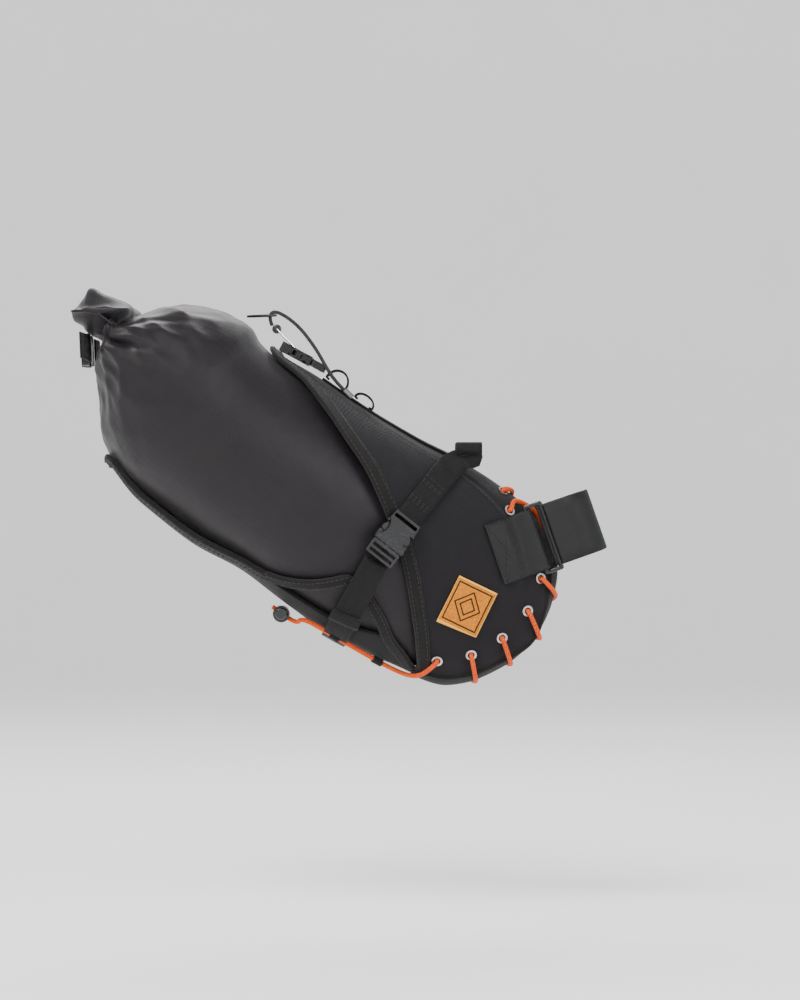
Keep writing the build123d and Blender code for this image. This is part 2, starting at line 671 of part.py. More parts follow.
# ---- Seatpost strap ---------------------------------------------------------------------------------------
# Seen along the seatpost: x forward, y to the left, in the plane through the origin square to the post.
STRAP_PLANE = Plane(origin=(0, 0, 0), x_dir=POST_FORWARD, z_dir=POST_UP)
HALF_STRAP = POST_STRAP_WIDTH / 2
RING_Y = -18.5
RING_REAR = -31.5
RING_FRONT = -19.5
RING_BAR = 1.6
INNER_RADIUS = POST_RADIUS + POST_STRAP_THICK / 2 - 0.05  # so that the post's own bore cuts the wall
TAIL_RADIUS = POST_RADIUS + POST_STRAP_THICK + 0.5 + 0.6 + POST_STRAP_THICK / 2
PAD_REAR = -66.0
PAD_FRONT = -35.8


def post_strap_band(rear, front, half):
    """Side-view outline (x, z) of a length of the seatpost strap, from rear to front along POST_FORWARD."""
    corners = [(rear, -half), (front, -half), (front, half), (rear, half)]
    places = [POST_FORWARD * p + POST_UP * a for p, a in corners]
    return [(place.X, place.Z) for place in places]


sewn_pad = layer(touching, envelope(HOLSTER, 0.1 + POST_STRAP_THICK),
                 slab(post_strap_band(PAD_REAR, PAD_FRONT, HALF_STRAP), 4, REACH))
with BuildPart() as seatpost_strap_anchor:
    with BuildSketch(STRAP_PLANE.offset(-HALF_STRAP)):
        with BuildLine():
            Line((PAD_FRONT - 2.5, -20.2), (RING_REAR - 0.5, RING_Y - 3))
        trace(line_width=POST_STRAP_THICK)
        with Locations((RING_REAR, RING_Y)):
            Circle(RING_BAR + 0.3 + POST_STRAP_THICK)
            Circle(RING_BAR + 0.3, mode=Mode.SUBTRACT)
    extrude(amount=POST_STRAP_WIDTH)
    add(sewn_pad)
    add(touching, mode=Mode.SUBTRACT)
save(seatpost_strap_anchor.part, "seatpost_strap_anchor")

with BuildPart() as seatpost_ring:
    ring_middle = POST_FORWARD * (RING_REAR + RING_FRONT) / 2 + Vector(0, RING_Y - RING_BAR, 0)
    with BuildSketch(Plane(origin=ring_middle, x_dir=POST_FORWARD, z_dir=Vector(0, 1, 0))):
        RectangleRounded(RING_FRONT - RING_REAR + 2 * RING_BAR, POST_STRAP_WIDTH + 1 + 4 * RING_BAR, 2)
        RectangleRounded(RING_FRONT - RING_REAR - 2 * RING_BAR, POST_STRAP_WIDTH + 1, 1, mode=Mode.SUBTRACT)
    extrude(amount=2 * RING_BAR)
    bar_edges = seatpost_ring.edges().filter_by(lambda edge: edge.length > RING_FRONT - RING_REAR - 6)
    fillet(bar_edges, 1.2)
save(seatpost_ring.part, "seatpost_ring")


def polar(radius, angle, centre=(0, 0)):
    """The point at an angle, in degrees from the forward direction, on a circle."""
    return centre[0] + radius * cos(radians(angle)), centre[1] + radius * sin(radians(angle))


LEAVE = 100.0  # the strap leaves the post this far round from its front, on each side
RING_TURN = RING_BAR + 0.3 + POST_STRAP_THICK / 2
with BuildPart() as seatpost_strap:
    with BuildSketch(STRAP_PLANE.offset(-HALF_STRAP)):
        with BuildLine():
            left_leave = polar(INNER_RADIUS, LEAVE)
            right_leave = polar(INNER_RADIUS, -LEAVE)
            Line((PAD_FRONT - 2.5, 22.4), left_leave)
            ThreePointArc(left_leave, (INNER_RADIUS, 0), right_leave)
            turn = [polar(RING_TURN, angle, (RING_FRONT, RING_Y)) for angle in (90, 180, 230)]
            Line(right_leave, turn[0])
            ThreePointArc(*turn)
        trace(line_width=POST_STRAP_THICK)
    extrude(amount=POST_STRAP_WIDTH)
    add(mirror(sewn_pad, about=Plane.XZ))
    add(touching, mode=Mode.SUBTRACT)
    with BuildSketch(STRAP_PLANE.offset(-50)):
        Circle(POST_RADIUS)
    extrude(amount=100, mode=Mode.SUBTRACT)
save(seatpost_strap.part, "seatpost_strap")

TAIL_START = polar(RING_TURN, -60, (RING_FRONT, RING_Y))
TAIL_ON = -96.0  # where the tail comes onto the post, and where it ends, degrees from the front
TAIL_OFF = 18.0
with BuildPart() as seatpost_strap_tail:
    with BuildSketch(STRAP_PLANE.offset(-HALF_STRAP)):
        with BuildLine():
            wrap = [polar(TAIL_RADIUS, angle) for angle in (TAIL_ON, (TAIL_ON + TAIL_OFF) / 2, TAIL_OFF)]
            Line((TAIL_START[0], TAIL_START[1] + 0.2), wrap[0])
            ThreePointArc(*wrap)
        trace(line_width=POST_STRAP_THICK)
    extrude(amount=POST_STRAP_WIDTH)
save(seatpost_strap_tail.part, "seatpost_strap_tail")

# Hook tape on the inner face of the tail
HOOK_RADIUS = TAIL_RADIUS - POST_STRAP_THICK / 2 - 0.35
with BuildPart() as hook_tape:
    with BuildSketch(STRAP_PLANE.offset(-HALF_STRAP + 2)):
        with BuildLine():
            ThreePointArc(polar(HOOK_RADIUS, -84), polar(HOOK_RADIUS, -37), polar(HOOK_RADIUS, 10))
        trace(line_width=0.6)
    extrude(amount=POST_STRAP_WIDTH - 4)
save(hook_tape.part, "hook_tape")

# ---- Patch ------------------------------------------------------------------------------------------------
patch_outline = band_points((-91.0, -78.0), (-74.2, -43.8), 17)
with BuildPart() as label_patch:
    add(layer(touching, envelope(HOLSTER, 1.3), slab(patch_outline, 5, REACH)))
save(label_patch.part, "label_patch")

# ---- Top of the holster: webbing ladder, clip, shock cord and its hook ------------------------------------


def ridge(s):
    """v of the holster's top ridge at s."""
    centre, height, width = section(s)
    return centre + height


spine_outline = [side_view(*p) for p in ((96, -40), (222, -55), (222, 20), (96, 20))]
spine_zone = slab(spine_outline, -WEB_WIDTH / 2, WEB_WIDTH / 2)
with BuildPart() as top_webbing:
    add(layer(touching, envelope(HOLSTER, 0.1 + WEB_THICK), spine_zone))
save(top_webbing.part, "top_webbing")

LOOPS = [(212, 9.5, 11.5), (186, 9.0, 7.0)]  # s, half length and height of each webbing loop
with BuildPart() as top_loops:
    for loop_s, half_length, height in LOOPS:
        foot = at(loop_s, ridge(loop_s) + WEB_THICK + 0.3, -WEB_WIDTH / 2)
        with BuildSketch(Plane(origin=foot, x_dir=REARWARD, z_dir=Vector(0, 1, 0))):
            Ellipse(half_length, height)
            Ellipse(half_length - WEB_THICK, height - WEB_THICK, mode=Mode.SUBTRACT)
        extrude(amount=WEB_WIDTH)
    add(envelope(HOLSTER, 0.2 + WEB_THICK), mode=Mode.SUBTRACT)
save(top_loops.part, "top_loops")

clip_forward = (REARWARD * -0.987 + ACROSS * 0.161).normalized()
clip_up = (REARWARD * 0.161 + ACROSS * 0.987).normalized()
CLIP_MOUTH_S = 237.0
clip_plane = Plane(origin=at(CLIP_MOUTH_S, ridge(CLIP_MOUTH_S) + 6.6), x_dir=clip_forward, z_dir=clip_up)
save_buckle("top_clip_{}", clip_plane)

bead_centre = at(273.5, -21)
# The shock cord's route (s, v, y) from its ferrule, past the clip and back to the bead
CORD_POINTS = [(203, -26.4, -14.7), (214, -25, -14.7), (226, -20.5, -14.7), (239, -15, -9.5), (256, -10, -2)]
CORD_POINTS += [(270, -8.5, 0), (283.5, -10.5, 0), (285, -17, 0), (278, -21.2, 0)]
SHOCK_RADIUS = 1.4
shock_points = [at(*place) for place in CORD_POINTS]
with BuildPart() as shock_cord:
    with BuildLine() as shock_path:
        FilletPolyline(*shock_points, radius=corner_radii(shock_points))
    with BuildSketch(Plane(origin=shock_points[0], z_dir=shock_points[1] - shock_points[0])):
        Circle(SHOCK_RADIUS)
    sweep()
save(shock_cord.part, "shock_cord")

with BuildPart() as cord_ferrule:
    with BuildSketch(Plane(origin=shock_points[0], z_dir=shock_points[0] - shock_points[1])):
        Circle(2.6)
    extrude(amount=8)
    add(envelope(HOLSTER, 0.2 + WEB_THICK), mode=Mode.SUBTRACT)
save(cord_ferrule.part, "cord_ferrule")

BAIL_WIRE = 0.8
BAIL_Y = 14.2
bail_foot = at(253, -24.0)
with BuildPart() as hook_bail:
    with BuildLine() as bail_path:
        FilletPolyline(bail_foot + Vector(0, -BAIL_Y, 0), bead_centre + Vector(0, -6, 0),
                       bead_centre + Vector(0, 6, 0), bail_foot + Vector(0, BAIL_Y, 0), radius=2)
    with BuildSketch(Plane(origin=bail_path.line @ 0, z_dir=bail_path.line % 0)):
        Circle(BAIL_WIRE)
    sweep()
save(hook_bail.part, "hook_bail")

with BuildPart() as cord_bead:
    with BuildSketch(Plane(origin=bead_centre, z_dir=Vector(0, 1, 0))):
        Circle(3.6)
    extrude(amount=4.5, both=True)
    fillet(cord_bead.edges().filter_by(GeomType.CIRCLE), 1.2)
    with BuildSketch(Plane(origin=bead_centre, z_dir=Vector(0, 1, 0))):
        Circle(BAIL_WIRE + 0.1)
    extrude(amount=10, both=True, mode=Mode.SUBTRACT)
save(cord_bead.part, "cord_bead")

# Finger loop threaded on the shock cord behind its bead
loop_along = (ACROSS * 0.645 - REARWARD * 0.765).normalized()
loop_out = (ACROSS * 0.765 + REARWARD * 0.645).normalized()
with BuildPart() as cord_loop:
    with BuildSketch(Plane(origin=at(288.9, -20.1) - loop_out, x_dir=loop_along, z_dir=loop_out)):
        SlotOverall(24, 8.2)
        SlotOverall(20.4, 4.8, mode=Mode.SUBTRACT)
    extrude(amount=2)
save(cord_loop.part, "cord_loop")

# ---- Dry bag ----------------------------------------------------------------------------------------------
with BuildPart() as drybag_body:
    add(envelope(DRY_BAG))
save(drybag_body.part, "drybag_body")

ROLL_HALF = 80.0
ROLL = [(364.6, -77), (383, -80.6), (391.7, -83), (391, -107), (377, -112.5), (364.6, -110.5)]
roll_middle = at(377, -95)
with BuildPart() as drybag_roll:
    with BuildSketch(Plane.XZ.offset(-ROLL_HALF)):
        Polygon(*[side_view(*p) for p in ROLL], align=None)
    extrude(amount=2 * ROLL_HALF)
    fillet(drybag_roll.edges().filter_by(Axis.Y), 3.5)
    with BuildSketch(Plane(origin=roll_middle, x_dir=REARWARD, z_dir=Vector(0, 1, 0))):
        Rectangle(19.4, 1.6)
    extrude(amount=ROLL_HALF + 1, both=True, mode=Mode.SUBTRACT)
save(drybag_roll.part, "drybag_roll")

with BuildPart() as roll_stiffener:
    with BuildSketch(Plane(origin=roll_middle, x_dir=REARWARD, z_dir=Vector(0, 1, 0))):
        RectangleRounded(19, 1.2, 0.5)
    extrude(amount=ROLL_HALF - 2, both=True)
save(roll_stiffener.part, "roll_stiffener")

# Closing strap behind the roll, with a buckle at the middle whose plug half points to the right
closure_out = (REARWARD * 0.76 - ACROSS * 0.65).normalized()
closure_across = (REARWARD * 0.65 + ACROSS * 0.76).normalized()
closure_middle = at(376.5, -121.5)
closure_plane = Plane(origin=closure_middle + closure_out * 4.6 + Vector(0, 7, 0),
                      x_dir=Vector(0, -1, 0), z_dir=closure_out)
save_buckle("roll_clip_{}", closure_plane)
closure_ends = ((-1, PLUG_GAP + PLUG_LENGTH + 0.5 - 7, "right"), (1, BUCKLE_LENGTH + 0.5 + 7, "left"))
for hand, start, name in closure_ends:
    with BuildPart() as roll_strap:
        with BuildSketch(Plane(origin=closure_middle + Vector(0, hand * start, 0), x_dir=closure_across,
                               z_dir=Vector(0, hand, 0))):
            Rectangle(WEB_WIDTH, WEB_THICK)
        extrude(amount=ROLL_HALF - 2 - start)
    save(roll_strap.part, f"roll_strap_{name}")
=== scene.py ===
import json
import math

import bpy
import numpy as np
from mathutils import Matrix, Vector
from mathutils.bvhtree import BVHTree


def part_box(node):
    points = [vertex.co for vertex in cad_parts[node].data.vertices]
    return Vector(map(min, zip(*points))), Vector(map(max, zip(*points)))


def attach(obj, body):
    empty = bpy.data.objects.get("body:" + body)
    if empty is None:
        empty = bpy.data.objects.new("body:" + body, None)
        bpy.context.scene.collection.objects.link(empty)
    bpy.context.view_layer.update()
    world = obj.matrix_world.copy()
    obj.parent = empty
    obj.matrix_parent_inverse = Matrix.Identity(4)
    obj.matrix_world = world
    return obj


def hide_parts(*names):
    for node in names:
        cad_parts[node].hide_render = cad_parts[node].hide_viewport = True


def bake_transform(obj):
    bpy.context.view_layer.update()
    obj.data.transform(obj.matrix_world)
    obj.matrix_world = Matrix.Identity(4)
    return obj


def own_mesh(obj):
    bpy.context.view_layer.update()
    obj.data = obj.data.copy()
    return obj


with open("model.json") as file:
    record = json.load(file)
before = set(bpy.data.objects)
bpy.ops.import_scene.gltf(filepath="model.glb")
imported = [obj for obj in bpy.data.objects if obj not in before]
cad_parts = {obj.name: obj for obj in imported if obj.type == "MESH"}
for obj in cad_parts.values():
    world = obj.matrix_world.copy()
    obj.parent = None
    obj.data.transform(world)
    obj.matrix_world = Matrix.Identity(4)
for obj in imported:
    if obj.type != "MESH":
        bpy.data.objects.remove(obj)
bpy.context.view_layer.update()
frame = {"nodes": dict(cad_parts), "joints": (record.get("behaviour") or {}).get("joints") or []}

# Lengths below are in millimetres. s runs rearward and up along the bag, v is across it in the side view and
# y is sideways, positive to the rider's left, as in the part's own frame.
MM = 0.001
BAG_ANGLE = math.radians(38.0)
POST_TILT = math.radians(19.15)
REARWARD = np.array([-math.cos(BAG_ANGLE), 0.0, math.sin(BAG_ANGLE)])
ACROSS = np.array([math.sin(BAG_ANGLE), 0.0, math.cos(BAG_ANGLE)])
POST_UP = np.array([-math.sin(POST_TILT), 0.0, math.cos(POST_TILT)])
POST_FORWARD = np.array([math.cos(POST_TILT), 0.0, math.sin(POST_TILT)])
SIDEWAYS = np.array([0.0, 1.0, 0.0])

# Each row is (s, centre v, half height, half width) of an elliptical section
HOLSTER = [
    (-28, -89, 15, 12), (-22, -88, 32, 15), (-10, -88.5, 54.5, 20), (7, -90, 69, 26), (34, -89, 78, 35),
    (62, -92, 82, 43), (94, -97, 84, 52), (134, -102, 81, 61), (179, -105.5, 78.5, 69),
    (224, -110.5, 80.5, 74), (262, -112.5, 78.5, 76), (318, -112.5, 77.5, 77),
]
DRY_BAG = [
    (26, -109, 43, 11), (32, -108, 55.5, 18), (44, -105.5, 61.2, 27), (62, -104.5, 66, 37),
    (94, -107, 69.5, 46.5), (134, -108.3, 71, 56), (179, -108.7, 71.2, 64.5), (224, -110.5, 73, 70.5),
    (262, -111, 73.5, 73), (277, -110.3, 74.3, 75), (289, -107.6, 76.6, 76.2), (308, -106.4, 73.9, 77),
    (326, -106, 66, 78), (342, -102, 52, 79), (354, -103, 40, 79.5), (363, -105, 27, 79), (372, -94, 9, 78),
]
# The side panels' rear edge as (x, z) in the side view
RIM = [(-236, 150), (-229, 131), (-210, 115), (-193, 94), (-174, 66), (-155, 35), (-133, -21), (-123, -75),
       (-120, -108)]
# Half the tongue's width as (s, y)
WING = [(30, 11.6), (42, 19.4), (56, 26.7), (69, 34.6), (84, 42), (96, 46.7), (108, 50), (118, 50.5)]
WING += [(140, 42.5), (161, 34), (180, 31), (306, 28), (313, 24), (316, 18)]
# Eyelets, and where the lace crosses the front between them, as (s, v). The rest of the way is (s, v, y).
EYELETS = [(19.8, -145.8), (2.2, -126.2), (-8.4, -101.4), (-11.2, -73.1), (-3.8, -47.4), (47, -21.1),
           (60, -12.3)]
CROSSINGS = [(26, -168), (-12, -139), (-24, -112), (-28, -84), (-21, -52), (28, -13), (54, -10)]
TOP_STITCHES = {
    5: [(50, -13, -14), (36, -13, -4), (25, -16, 1.5), (14, -23, 7), (2, -31, 10.5), (-2, -42, 14)],
    6: [(54, -9, 0), (52, -12, 13)],
}
# Under the bag as (s, y)
UNDER_RUN = [(30, -7), (47, -9), (62, -13), (82, -17), (104, -18), (122, -13)]


# ---- The bag's surfaces -----------------------------------------------------------------------------------
def slopes(table):
    """How fast each column changes at each row, without overshoot between rows."""
    steps = [[(b[k] - a[k]) / (b[0] - a[0]) for k in (1, 2, 3)] for a, b in zip(table, table[1:])]
    inner = [
        [2 * p * q / (p + q) if p * q > 0 else 0.0 for p, q in zip(before, after)]
        for before, after in zip(steps, steps[1:])
    ]
    return [steps[0], *inner, steps[-1]]


SLOPES = {id(table): slopes(table) for table in (HOLSTER, DRY_BAG)}


def section(s, table=HOLSTER):
    """Centre, half height and half width of a table's ellipse at s."""
    i = max(0, min(len(table) - 2, sum(row[0] <= s for row in table) - 1))
    low, high = table[i], table[i + 1]
    span = high[0] - low[0]
    t = min(1.0, max(0.0, (s - low[0]) / span))
    rises = SLOPES[id(table)]
    return [
        low[k + 1] * (1 + 2 * t) * (1 - t) ** 2
        + high[k + 1] * (3 - 2 * t) * t**2
        + span * t * (1 - t) * (rises[i][k] * (1 - t) - rises[i + 1][k] * t)
        for k in range(3)
    ]


def at(s, v, y=0.0):
    """The point at a place along, across and to the side of the bag."""
    return REARWARD * s + ACROSS * v + SIDEWAYS * y


def to_bag(point):
    """(s, v, y) of a point in the row frame."""
    return float(point @ REARWARD), float(point @ ACROSS), float(point[1])


def unit(vector):
    return vector / max(np.linalg.norm(vector), 1e-9)


def oval(s, angle, table=HOLSTER, share=1.0):
    """v, the point and its outward normal on a section at an angle round it, 0 on the ridge."""
    centre, height, width = section(s, table)
    cos, sin = math.cos(angle), math.sin(angle)
    v = centre + height * share * cos
    return v, at(s, v, width * share * sin), unit(at(0, cos / height, sin / width))


def under(s, y):
    """v of the holster's underside at (s, y)."""
    centre, height, width = section(s)
    return centre - height * math.sqrt(max(0.0, 1 - (y / width) ** 2))


def ridge(s):
    """v of the holster's top line."""
    return sum(section(s)[:2])


def fullness(s, v, y):
    """1 on the holster's skin, less inside it and more outside."""
    centre, height, width = section(s)
    return max(math.sqrt(((v - centre) / height) ** 2 + (y / width) ** 2), 1 + (HOLSTER[0][0] - s) / 20)


def on_skin(s, v, y, lift=0.0):
    """The point of the holster's skin nearest to (s, v, y), moved outward by lift, and the outward normal."""
    step = 0.25
    for _ in range(6):
        here = fullness(s, v, y)
        slope = (
            (fullness(s + step, v, y) - fullness(s - step, v, y)) / (2 * step),
            (fullness(s, v + step, y) - fullness(s, v - step, y)) / (2 * step),
            (fullness(s, v, y + step) - fullness(s, v, y - step)) / (2 * step),
        )
        square = sum(g * g for g in slope)
        s, v, y = (p - (here - 1) * g / square for p, g in zip((s, v, y), slope))
    normal = unit(at(*slope))
    return at(s, v, y) + normal * lift, normal


def skin_y(s, v):
    """How far the skin lies to the side at (s, v)."""
    centre, height, width = section(s)
    return width * math.sqrt(max(0.0, 1 - ((v - centre) / height) ** 2))


def side_place(x, z, hand):
    """(s, v, y) of the skin seen at (x, z) in the side view. hand is -1 right, 1 left."""
    point = np.array([x, 0.0, z])
    s, v = float(point @ REARWARD), float(point @ ACROSS)
    return s, v, hand * skin_y(s, v)


def heading(points, i):
    """The way from the point before number i to the point after it."""
    return points[min(i + 1, len(points) - 1)] - points[max(i - 1, 0)]


def last_true(test, low, high, rounds=26):
    """The largest number between low and high for which test holds, found by halving."""
    for _ in range(rounds):
        middle = (low + high) / 2
        if test(middle):
            low = middle
        else:
            high = middle
    return (low + high) / 2


def spline(a, b, c, d, t):
    """A point between b and c on the smooth curve through four points."""
    line = 2 * b + (c - a) * t
    return 0.5 * (line + (2 * a - 5 * b + 4 * c - d) * t**2 + (3 * b - a - 3 * c + d) * t**3)


def smooth(points, step=2.0):
    """Points about a step apart on a smooth curve through the given ones."""
    pts = [np.array(p, float) for p in points]
    pts = [2 * pts[0] - pts[1], *pts, 2 * pts[-1] - pts[-2]]
    out = []
    for a, b, c, d in zip(pts, pts[1:], pts[2:], pts[3:]):
        count = max(1, round(np.linalg.norm(c - b) / step))
        out += [spline(a, b, c, d, k / count) for k in range(count)]
    return out + [pts[-2]]


def ripple(p, scale, seed=0.0):
    """Soft noise between about -1 and 1 at a point, made of slanted waves."""
    x, y, z = p / scale
    return (
        math.sin(1.7 * x + 0.6 * y - 1.1 * z + seed) * math.sin(0.9 * y + 1.3 * z + 2.1 * seed)
        + 0.5 * math.sin(2.9 * x - 2.2 * y + 1.9 * z + 1.3 * seed)
        + 0.25 * math.sin(5.3 * x + 4.1 * z + 3.7 * y + 0.7 * seed)
    ) / 1.6


def ramp(value, low, high):
    """0 below low, 1 above high and a soft rise between."""
    t = min(1.0, max(0.0, (value - low) / (high - low)))
    return t * t * (3 - 2 * t)


# ---- Meshes -----------------------------------------------------------------------------------------------
def placed(name, data):
    """A new object in the scene from a mesh, curve, light or camera."""
    obj = bpy.data.objects.new(name, data)
    bpy.context.scene.collection.objects.link(obj)
    return obj


def mesh_object(name, verts, faces, uvs):
    """An object from millimetre points. uvs, one per vertex of each face, are in metres."""
    mesh = bpy.data.meshes.new(name)
    mesh.from_pydata([tuple(float(c) * MM for c in v) for v in verts], [], faces)
    layer = mesh.uv_layers.new(name="UVMap")
    layer.data.foreach_set("uv", [float(c) for face in uvs for pair in face for c in pair])
    mesh.validate()
    mesh.polygons.foreach_set("use_smooth", [True] * len(mesh.polygons))
    return placed(name, mesh)


def grid(name, rows, wrap=False, caps=False):
    """A surface through rows of points. wrap joins the last column to the first; caps closes both ends."""
    rows = [np.array(row, float) for row in rows]
    n, m = len(rows), len(rows[0])
    u = [0.0]
    for a, b in zip(rows, rows[1:]):
        u.append(u[-1] + float(np.mean(np.linalg.norm(b - a, axis=1))) * MM)
    middle = rows[n // 2]
    around = [0.0]
    for j in range(m):
        around.append(around[-1] + float(np.linalg.norm(middle[(j + 1) % m] - middle[j])) * MM)
    verts = [p for row in rows for p in row]
    faces, uvs = [], []
    for i in range(n - 1):
        for j in range(m if wrap else m - 1):
            k = (j + 1) % m
            faces.append((i * m + j, i * m + k, (i + 1) * m + k, (i + 1) * m + j))
            left, right = around[j:j + 2]
            uvs.append(((u[i], left), (u[i], right), (u[i + 1], right), (u[i + 1], left)))
    if caps:
        for i, turn in ((0, -1), (n - 1, 1)):
            ring = [i * m + j for j in range(m)][::turn]
            faces.append(tuple(ring))
            uvs.append(tuple((u[i], around[r - i * m]) for r in ring))
    if enclosed(np.array(verts), faces) < 0:
        faces = [face[::-1] for face in faces]
        uvs = [pairs[::-1] for pairs in uvs]
    return mesh_object(name, verts, faces, uvs)


def enclosed(verts, faces):
    """Volume inside a surface, negative when its faces point inward."""
    middle = verts.mean(axis=0)
    total = 0.0
    quads = np.array([face for face in faces if len(face) == 4])
    for i, j, k in ((0, 1, 2), (0, 2, 3)):
        a, b, c = (verts[quads[:, n]] - middle for n in (i, j, k))
        total += float(np.einsum("ij,ij->i", a, np.cross(b, c)).sum())
    return total


def join(name, objects):
    """One object from several, which share their first one's name."""
    with bpy.context.temp_override(active_object=objects[0], selected_editable_objects=objects):
        bpy.ops.object.join()
    objects[0].name = name
    objects[0].data.name = name
    return objects[0]


def tapes(width, thick, lift=0.0, soft=0.35):
    """Cross-section of a tape: (across, lift) pairs round its outline, with softened edges."""
    half = width / 2
    top, low = lift + thick, lift
    return [
        (-half, low + soft * thick), (-half + soft, low), (-half * 0.5, low), (0, low), (half * 0.5, low),
        (half - soft, low), (half, low + soft * thick), (half, top - soft * thick), (half - soft, top),
        (half * 0.66, top), (half * 0.33, top), (0, top), (-half * 0.33, top), (-half * 0.66, top),
        (-half + soft, top), (-half, top - soft * thick),
    ]


def skin_places(path, acrosses):
    """For each (s, v, y) of a path, the skin's (point, normal) at each distance to the left of the path."""
    places = [on_skin(*p) for p in path]
    points = [point for point, _ in places]
    for i, (point, normal) in enumerate(places):
        side = unit(np.cross(normal, heading(points, i)))
        yield [on_skin(*to_bag(point + side * across)) for across in acrosses]


def skin_strip(name, path, profile, wave=0.0):
    """A strip along a path of (s, v, y) on the holster's skin. profile is (across, lift) pairs, with across
    to the left of the path seen from outside."""
    acrosses, lifts = zip(*profile)
    rows = [
        [base + out * (lift + wave * ripple(base, 14, 2.0)) for (base, out), lift in zip(row, lifts)]
        for row in skin_places(path, acrosses)
    ]
    return grid(name, rows, wrap=True, caps=True)


def flat_strip(name, path, sides, profile):
    """A strip through free points. sides gives the across direction at each point, or one for all."""
    rows = []
    for i, point in enumerate(path):
        ahead = unit(heading(path, i))
        side = sides if isinstance(sides, np.ndarray) else sides[i]
        side = unit(side - ahead * float(side @ ahead))
        normal = unit(np.cross(ahead, side))
        rows.append([point + side * across + normal * lift for across, lift in profile])
    return grid(name, rows, wrap=True, caps=True)


def tube(name, points, radius, sides=12, closed=False):
    """A tube along points with a frame that doesn't twist."""
    rows = []
    side = None
    for i, point in enumerate(points):
        ahead = unit(points[(i + 1) % len(points)] - points[i - 1] if closed else heading(points, i))
        if side is None:
            side = unit(np.cross(ahead, [0.31, 0.87, 0.41]))
        side = unit(side - ahead * float(side @ ahead))
        other = np.cross(ahead, side)
        rows.append([
            point + (side * math.cos(a) + other * math.sin(a)) * radius
            for a in (2 * math.pi * k / sides for k in range(sides))
        ])
    if closed:
        rows.append(rows[0])
    return grid(name, rows, wrap=True, caps=not closed)


def nurbs(name, points, radius):
    """A smooth round cord on a NURBS spline with the points as its control points."""
    curve = bpy.data.curves.new(name, "CURVE")
    curve.dimensions = "3D"
    curve.bevel_depth = radius * MM
    curve.bevel_resolution = 4
    curve.use_fill_caps = True
    line = curve.splines.new("NURBS")
    line.points.add(len(points) - 1)
    for target, p in zip(line.points, points):
        target.co = (*[float(c) * MM for c in p], 1.0)
    line.order_u = 3
    line.use_endpoint_u = True
    line.resolution_u = 8
    return placed(name, curve)


def as_mesh(obj):
    """A mesh copy of a curve, in its place."""
    made = bpy.data.meshes.new_from_object(obj.evaluated_get(bpy.context.evaluated_depsgraph_get()))
    name = obj.name
    bpy.data.objects.remove(obj)
    return placed(name, made)


STITCH_LENGTH = 2.7
STITCH_GAP = 1.1
STITCH_RADIUS = 0.32
STITCH_SIDES = 6
STITCH_RINGS = ((0.0, 0.25), (0.22, 1.0), (0.5, 1.15), (0.78, 1.0), (1.0, 0.25))


def add_stitch(verts, faces, start, along, normal):
    """Adds one stitch, a short bead that dips into the cloth at both ends."""
    side = unit(np.cross(normal, along))
    first, n = len(verts), STITCH_SIDES
    for place, size in STITCH_RINGS:
        middle = start + along * STITCH_LENGTH * place + normal * (STITCH_RADIUS * (0.9 * size - 0.35))
        for q in range(n):
            angle = math.pi * q / 3
            offset = side * math.cos(angle) + normal * math.sin(angle)
            verts.append(middle + offset * STITCH_RADIUS * size)
    for base in range(first, first + n * (len(STITCH_RINGS) - 1), n):
        for q in range(n):
            r = (q + 1) % n
            faces.append((base + q, base + r, base + n + r, base + n + q))
    faces.append(tuple(range(first + n - 1, first - 1, -1)))
    faces.append(tuple(range(len(verts) - n, len(verts))))


def stitches(name, runs):
    """Rows of sewn stitches. Each run is a list of (point, normal) pairs along the seam."""
    verts, faces = [], []
    for run in runs:
        travelled, target = 0.0, STITCH_GAP
        for (a, normal), (b, _) in zip(run, run[1:]):
            length = float(np.linalg.norm(b - a))
            if length < 1e-6:
                continue
            along = (b - a) / length
            while target <= travelled + length:
                add_stitch(verts, faces, a + along * (target - travelled), along, normal)
                target += STITCH_LENGTH + STITCH_GAP
            travelled += length
    return mesh_object(name, verts, faces, [[(0.0, 0.0)] * len(f) for f in faces])


def skin_run(path, across, lift):
    """(point, normal) pairs along a path on the skin, moved sideways and outward."""
    return [(base + out * lift, out) for [(base, out)] in skin_places(path, [across])]


def mirrored_run(run):
    """The same (point, normal) pairs on the left side."""
    return [tuple(vector * np.array([1, -1, 1]) for vector in pair) for pair in run]


def mirrored(obj, name):
    """A copy of obj reflected to the left side."""
    twin = obj.copy()
    twin.data = obj.data.copy()
    twin.name = name
    twin.data.name = name
    bpy.context.scene.collection.objects.link(twin)
    twin.data.transform(((1, 0, 0, 0), (0, -1, 0, 0), (0, 0, 1, 0), (0, 0, 0, 1)))
    twin.data.flip_normals()
    return twin


# ---- Materials --------------------------------------------------------------------------------------------
def rgb(text):
    """Linear colour from a hex code."""
    parts = [int(text[i:i + 2], 16) / 255 for i in (1, 3, 5)]
    return tuple(c / 12.92 if c <= 0.04045 else ((c + 0.055) / 1.055) ** 2.4 for c in parts) + (1.0,)


